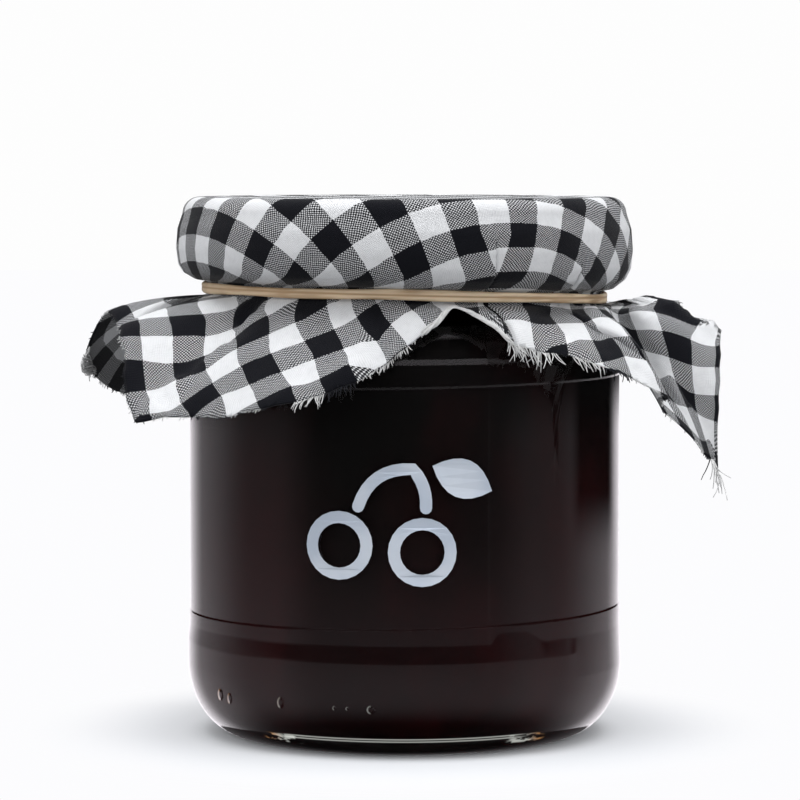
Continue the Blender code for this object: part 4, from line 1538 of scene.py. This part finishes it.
@dataclass
class FrayedEdge:
    """The loose yarns along the cloth's cut and torn edges.

    A twist is a bundle of yarns along a side, from one place to another, with its number of yarns
    and its radius. A block is a stretch of the front edge in mm, with its longest yarn and its
    tone, where a half leaves the tone to the stripes.
    """

    cover: ClothCover
    yarn_r: float = 0.13 * MM
    pitch: float = 0.42
    joints: int = 6
    sides: int = 5
    taper: float = 0.55
    stray: float = 0.22
    curl: float = 0.30
    droop: float = 0.12
    wander: float = 0.08
    lengths: Span = (0.35, 1.1)
    chance: float = 0.62
    block_chance: float = 0.92
    twists: tuple[tuple[Side, float, float, int, float], ...] = (
        (Side.FRONT, -26.0, 6.0, 46, 0.75 * MM), (Side.LEFT, 17.0, 30.0, 42, 1.7 * MM))
    seed: int = 11
    inset: float = 1.2
    blocks: tuple[tuple[float, float, float, float], ...] = (
        (2.0, 19.0, 4.5, 1.0), (-56.0, -49.5, 3.2, 1.0), (-49.5, -43.5, 2.6, 0.0),
        (-41.0, -30.0, 1.8, 1.0), (21.0, 27.0, 3.2, 1.0), (27.0, 33.0, 2.2, 0.0),
        (84.0, 90.5, 6.5, 0.5))

    def edge(self, side: Side) -> tuple[np.ndarray, np.ndarray, np.ndarray]:
        """Return points along a side, their hanging places and their outward directions.

        Args:
            side: the side of the flat cloth.

        Returns:
            The flat places in mm, their places in the frame, and unit directions that carry
            the cloth on past its edge.
        """
        cover = self.cover
        corners = [(p.u, p.v) for p in cover.hems()]
        if side is Side.FRONT:
            line = sorted(c for c in corners if c[1] < 1 - cover.low_corner and c[0] < cover.torn - 1)
            line.append((cover.right, -cover.long_corner))
        elif side is Side.BACK:
            line = sorted(c for c in corners if c[1] == cover.back)
        else:
            at_side = cover.torn if side is Side.RIGHT else -cover.left
            line = sorted((c for c in corners if c[0] == at_side), key=lambda c: c[1])
        line = np.array(line)
        steps = np.concatenate([[0.0], np.cumsum(np.linalg.norm(np.diff(line, axis=0), axis=1))])
        at = np.arange(0.2, steps[-1], self.pitch)
        flat = np.stack([np.interp(at, steps, line[:, 0]), np.interp(at, steps, line[:, 1])], axis=-1)
        inner = flat * (1 - self.inset / np.linalg.norm(flat, axis=1, keepdims=True))
        rim = cover.drape(flat[:, 0] * MM, flat[:, 1] * MM)
        out = rim - cover.drape(inner[:, 0] * MM, inner[:, 1] * MM)
        out /= np.maximum(np.linalg.norm(out, axis=1, keepdims=True), 1e-9)
        return flat, rim, out

    def tone(self, place: float, side: Side) -> float:
        """Return 1 for a white yarn and 0 for a black one, from the stripe it leaves.

        Args:
            place: the yarn's place along its side, in mm.
            side: the side of the flat cloth.

        Returns:
            The tone.
        """
        finish = self.cover.finish
        is_weft = side in (Side.LEFT, Side.RIGHT)
        start = finish.row_start if is_weft else finish.column_start
        is_odd = math.floor((place - start) / finish.stripe) % 2 == 1
        return float(is_odd if is_weft else not is_odd)

    def strand(self, start: np.ndarray, way: np.ndarray, length: float,
               draw: np.random.Generator) -> np.ndarray:
        """Return the points of one loose yarn.

        Args:
            start: where it leaves the cloth.
            way: its direction there.
            length: its length in metres.
            draw: the seeded source of its bends.

        Returns:
            Its points, one for each joint.
        """
        way = way + draw.normal(0.0, self.stray, 3)
        bend = draw.normal(0.0, self.curl, 3) + np.array([0.0, 0.0, -self.droop])
        points = [start - way * 0.3 * MM]
        step = length / (self.joints - 1)
        for _ in range(self.joints - 1):
            way = way / np.linalg.norm(way)
            points.append(points[-1] + way * step)
            way = way + bend * 0.35 + draw.normal(0.0, self.wander, 3)
        return np.array(points)

    def tube(self, path: np.ndarray, radius: float) -> np.ndarray:
        """Return the rings of a thin tube that tapers to its free end.

        Args:
            path: the yarn's points.
            radius: its radius in metres.

        Returns:
            Its rings, as joints by sides by 3.
        """
        ways = np.gradient(path, axis=0)
        ways /= np.maximum(np.linalg.norm(ways, axis=1, keepdims=True), 1e-12)
        helper = np.array([0.31, 0.22, 0.92])
        first = np.cross(ways, helper)
        first /= np.maximum(np.linalg.norm(first, axis=1, keepdims=True), 1e-12)
        second = np.cross(ways, first)
        turn = np.arange(self.sides) * 2 * math.pi / self.sides
        taper = np.linspace(1.0, self.taper, len(path))[:, None, None] * radius
        ring = (first[:, None] * np.cos(turn)[None, :, None] + second[:, None] * np.sin(turn)[None, :, None])
        return path[:, None] + ring * taper

    def lay_side(self, side: Side, draw: np.random.Generator) -> list[tuple[np.ndarray, float]]:
        """Return the yarns of one side.

        Args:
            side: the side of the flat cloth.
            draw: the seeded source of lengths and bends.

        Returns:
            Each yarn's tube rings and tone.
        """
        flat, rim, out = self.edge(side)
        yarns = []
        for spot, start, way in zip(flat, rim, out):
            place = spot[1] if side in (Side.LEFT, Side.RIGHT) else spot[0]
            length, chance, tone = draw.uniform(*self.lengths), self.chance, self.tone(place, side)
            if side is Side.FRONT:
                for low, high, longest, forced in self.blocks:
                    if low <= place <= high:
                        length, chance = longest * draw.uniform(0.55, 1.0), self.block_chance
                        tone = forced if forced in (0.0, 1.0) else tone
            if draw.uniform() > chance:
                continue
            path = self.strand(start, way, length * MM, draw)
            yarns.append((self.tube(path, self.yarn_r), tone * draw.uniform(0.82, 1.0)))
        return yarns

    def lay_twist(self, draw: np.random.Generator, side: Side, low: float, high: float, number: int,
                  radius: float) -> list[tuple[np.ndarray, float]]:
        """Return a bundle of pulled yarns that runs along a stretch of an edge.

        Args:
            draw: the source of random numbers.
            side: the side of the flat cloth.
            low: where the bundle starts along the side, in mm.
            high: where it ends.
            number: how many yarns it has.
            radius: its radius in metres.

        Returns:
            Each yarn's rings and tone.
        """
        flat, rim, out = self.edge(side)
        along = flat[:, 0] if side is Side.FRONT else flat[:, 1]
        inside = np.flatnonzero((along > low) & (along < high))
        yarns = []
        for _ in range(number):
            count = int(len(inside) * draw.uniform(0.35, 0.9))
            first = inside[0] + int(draw.uniform(0.0, 1.0) * (len(inside) - count))
            run = np.arange(first, first + count, 3)
            phase = draw.uniform(0.0, 2 * math.pi)
            swirl = phase + np.arange(len(run)) * 0.55
            across = draw.uniform(0.2, 1.0) * radius
            path = rim[run] + out[run] * (np.cos(swirl) * across)[:, None]
            path[:, 1] -= radius * 0.6 + np.sin(swirl) * across
            yarns.append((self.tube(path, self.yarn_r * 1.25), draw.uniform(0.86, 1.0)))
        return yarns

    def build(self) -> bpy.types.Object:
        """Make all the loose yarns as one piece.

        Returns:
            The new piece.
        """
        draw = np.random.default_rng(self.seed)
        yarns = [yarn for side in Side for yarn in self.lay_side(side, draw)]
        yarns += [yarn for twist in self.twists for yarn in self.lay_twist(draw, *twist)]
        vertices, faces, tones = [], [], []
        ring = np.arange(self.sides)
        for rings, tone in yarns:
            base = len(vertices)
            vertices.extend(rings.reshape(-1, 3).tolist())
            for i in range(len(rings) - 1):
                low = base + i * self.sides
                for a in ring:
                    b = (a + 1) % self.sides
                    faces.append((low + a, low + b, low + self.sides + b, low + self.sides + a))
            last = base + (len(rings) - 1) * self.sides
            faces.append(tuple(base + a for a in reversed(ring)))
            faces.append(tuple(last + a for a in ring))
            tones.extend([tone] * (len(rings) * self.sides))
        mesh = bpy.data.meshes.new("frayed_yarns")
        mesh.from_pydata(vertices, [], faces)
        mesh.shade_smooth()
        write_map(mesh, "tone", np.stack([tones, np.full(len(tones), 0.5)], axis=-1))
        item = link("frayed_yarns", mesh, self.cover.yarns.make())
        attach(item, BODY)
        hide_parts("cloth_cover")
        return item


# The studio


@dataclass
class Studio:
    """The white floor and surround, soft lights, and the camera at the photograph's place."""

    sight: Sightline
    yaw: float = 0.069
    lens: float = 167.3
    sensor: float = 36.0
    nearest: float = 0.05
    floor_half: float = 3.0
    floor_far: Span = (40 * MM, 78 * MM)
    # Painted contact shadow: the floor glows least under the jar's foot and more from 32 to 45 mm out, and
    # is bluish grey near it.
    contact_shadow_span: Span = (32 * MM, 45 * MM)
    floor_tones: tuple[Colour, Colour] = ((0.49, 0.51, 0.545), (0.52, 0.54, 0.57))
    floor_glow: tuple[float, float, float] = (0.02, 0.37, 0.60)
    floor_white: Colour = (0.985, 0.985, 1.0)
    dome_r: float = 2.6
    dome_tint: Colour = (1.0, 0.95, 1.0)
    surround: float = 0.985
    sky: Colour = (0.97, 0.98, 1.0)
    sky_light: float = 0.44
    aim: Place = (0.0, 0.0, 0.06)
    softboxes: tuple[tuple[str, Place, float, float], ...] = (
        ("overhead", (0.0, -0.16, 1.3), 1.1, 16.5), ("left_window", (-1.1, -0.55, 0.55), 0.8, 4.5),
        ("right_window", (1.1, -0.55, 0.55), 0.8, 4.5))

    def camera(self) -> None:
        """Place the camera."""
        data = bpy.data.cameras.new("camera")
        data.sensor_width = self.sensor
        data.lens = self.lens
        data.clip_start = self.nearest
        item = bpy.data.objects.new("camera", data)
        item.location = (0.0, -self.sight.distance, self.sight.height)
        item.rotation_euler = (math.radians(90.0 - self.sight.tilt), 0.0, math.radians(self.yaw))
        bpy.context.scene.collection.objects.link(item)
        bpy.context.scene.camera = item

    def world(self) -> None:
        """Surround the set with even white, brighter to the eye than as a light."""
        world = bpy.data.worlds.new("white_surround")
        bpy.context.scene.world = world
        world.use_nodes = True
        tree = world.node_tree
        tree.nodes.clear()
        seen, light = tree.nodes.new("ShaderNodeBackground"), tree.nodes.new("ShaderNodeBackground")
        for node, colour, strength in ((seen, (1.0, 1.0, 1.0), self.surround),
                                       (light, self.sky, self.sky_light)):
            node.inputs[0].default_value = (*colour, 1.0)
            node.inputs[1].default_value = strength
        rays, plain = tree.nodes.new("ShaderNodeLightPath"), tree.nodes.new("ShaderNodeMath")
        mixed, output = tree.nodes.new("ShaderNodeMixShader"), tree.nodes.new("ShaderNodeOutputWorld")
        plain.operation = "MAXIMUM"
        for start, end in ((rays.outputs["Is Camera Ray"], plain.inputs[0]),
                           (rays.outputs["Is Transmission Ray"], plain.inputs[1]),
                           (plain.outputs[0], mixed.inputs[0]), (light.outputs[0], mixed.inputs[1]),
                           (seen.outputs[0], mixed.inputs[2]), (mixed.outputs[0], output.inputs[0])):
            tree.links.new(start, end)

    def floor(self) -> None:
        """Lay the white table, which glows evenly away from the jar and is shaded only round its foot, by
        the lights and by a painted contact shadow.
        """
        half = self.floor_half
        mesh = bpy.data.meshes.new("table_top")
        mesh.from_pydata([(-half, -half, 0.0), (half, -half, 0.0), (half, half, 0.0), (-half, half, 0.0)],
                         [], [(0, 1, 2, 3)])
        bench = Bench("table_white")
        bench.set(Roughness=0.7, Specular_IOR_Level=0.0)
        place = bench.place()
        x, y, _ = bench.axes(place)
        away = bench.reach(x, y)
        far = bench.ramp(away, *self.floor_far)
        # Near the foot the floor is bluish grey, shaded by the lights and tinted as a painted contact
        # shadow.
        near_white = bench.blend(bench.noise(place, 4.0, 2.0), *self.floor_tones)
        bench.feed(bench.blend(far, near_white, (0.0, 0.0, 0.0)), bench.shader.inputs["Base Color"])
        bench.shader.inputs["Emission Color"].default_value = (*self.floor_white, 1.0)
        # Painted contact shadow: the glow is least under the foot and rises just outside it.
        least, contact, full = self.floor_glow
        glow = bench.math("MULTIPLY_ADD", bench.ramp(away, *self.contact_shadow_span), contact, least)
        bench.feed(bench.math("MULTIPLY_ADD", far, full, glow), bench.shader.inputs["Emission Strength"])
        item = link("table_top", mesh, bench.material)
        item.visible_glossy = item.visible_diffuse = False

    def room_light(self, bench: Bench) -> Socket:
        """Return how bright the reflected room is.

        facing is 1 towards the front and -1 behind, and climb is the elevation in degrees.

        Args:
            bench: the material's bench.

        Returns:
            The brightness.
        """
        x, y, z = bench.axes(bench.place())
        flat = bench.reach(x, y)
        least = bench.math("MAXIMUM", flat, 0.01)
        facing = bench.math("DIVIDE", bench.times(y, -1.0), least)
        climb = bench.math("DEGREES", bench.math("ARCTAN2", z, flat))
        aside = bench.math("DIVIDE", bench.math("ABSOLUTE", x), least)
        sunk = bench.minus(bench.times(bench.plus(climb, 8.8), -1.0),
                           bench.math("MULTIPLY_ADD", aside, 51.0, -2.3))
        under_foot = bench.times(bench.ramp(facing, -0.55, -0.80), bench.ramp(sunk, 0.0, 1.2))
        rim = bench.times(bench.ramp(facing, -0.72, -0.95, 0.0, 0.75), bench.minus(1.0, under_foot))
        sides = bench.plus(bench.ramp(facing, 0.75, 0.30, 0.004, 0.17),
                           bench.ramp(facing, 0.05, -0.55, 0.0, 0.30), rim)
        above_foot = bench.ramp(climb, -50.0, -20.0, 0.15, 1.0)
        is_right = bench.times(bench.ramp(x, -0.1, 0.1), bench.ramp(facing, -0.10, -0.30),
                               bench.ramp(facing, -0.90, -0.75))
        low = bench.plus(bench.times(is_right, bench.ramp(climb, -4.0, -5.4), above_foot),
                         bench.times(bench.minus(1.0, is_right), bench.ramp(climb, -1.5, -3.0), above_foot))
        table = bench.times(bench.ramp(climb, -4.0, -9.5, 0.0, 0.30), bench.ramp(climb, -55.0, -22.0))
        shelf = bench.times(bench.ramp(climb, 5.6, 6.4), bench.ramp(climb, 15.5, 14.0),
                            bench.ramp(facing, 0.4, 0.7, 0.0, 0.8))
        level = bench.times(bench.plus(bench.times(sides, low), table),
                            bench.math("MULTIPLY_ADD", under_foot, -0.85, 1.0))
        return bench.plus(level, bench.ramp(climb, 48.0, 60.0, 0.0, 0.75), shelf)

    def reflected_room(self) -> None:
        """Hang the room that only the gloss shows: dark in front, pale at the sides and behind."""
        work = bmesh.new()
        bmesh.ops.create_uvsphere(work, u_segments=64, v_segments=32, radius=self.dome_r)
        mesh = bpy.data.meshes.new("reflected_room")
        work.to_mesh(mesh)
        work.free()
        bench = Bench("reflected_room")
        bench.tree.nodes.remove(bench.shader)
        glow = bench.add("Emission")
        glow.inputs[0].default_value = (*self.dome_tint, 1.0)
        bench.feed(self.room_light(bench), glow.inputs[1])
        output = next(node for node in bench.tree.nodes if node.type == "OUTPUT_MATERIAL")
        bench.tree.links.new(glow.outputs[0], output.inputs[0])
        item = link("reflected_room", mesh, bench.material)
        item.visible_camera = item.visible_diffuse = item.visible_transmission = False
        item.visible_shadow = item.visible_volume_scatter = False

    def softbox(self, name: str, place: Place, size: float, power: float) -> None:
        """Hang a square soft light that looks at the jar.

        Args:
            name: the light's name.
            place: where it hangs, in metres.
            size: its side in metres.
            power: its power in watts.
        """
        data = bpy.data.lights.new(name, "AREA")
        data.size = size
        data.energy = power
        item = bpy.data.objects.new(name, data)
        item.location = place
        aim = Vector(self.aim) - Vector(place)
        item.rotation_euler = aim.to_track_quat("-Z", "Y").to_euler()
        item.visible_glossy = False
        item.visible_camera = False
        bpy.context.scene.collection.objects.link(item)

    def build(self) -> None:
        """Set up the whole studio."""
        bpy.context.scene.view_settings.view_transform = "Standard"
        self.camera()
        self.world()
        self.floor()
        self.reflected_room()
        for softbox in self.softboxes:
            self.softbox(*softbox)


def main() -> None:
    """Build the jar's pieces in order and report each one."""
    logging.basicConfig(level=logging.INFO, format="%(message)s")
    sight = Sightline()
    Studio(sight).build()
    LOG.info("studio ready")
    jar = GlassJar()
    LOG.info("glass: %s", jar.build_glass().name)
    LOG.info("jam: %s", jar.build_jam().name)
    LOG.info("lid: %s", TwistLid().dress().name)
    band = RubberBand()
    LOG.info("band: %s", band.build().name)
    LOG.info("cloth: %s", ClothCover(sight=sight, band=band, jar=jar).build().name)
    PrintedMotif().dress()
    LOG.info("print dressed")


if __name__ == "__main__":
    main()
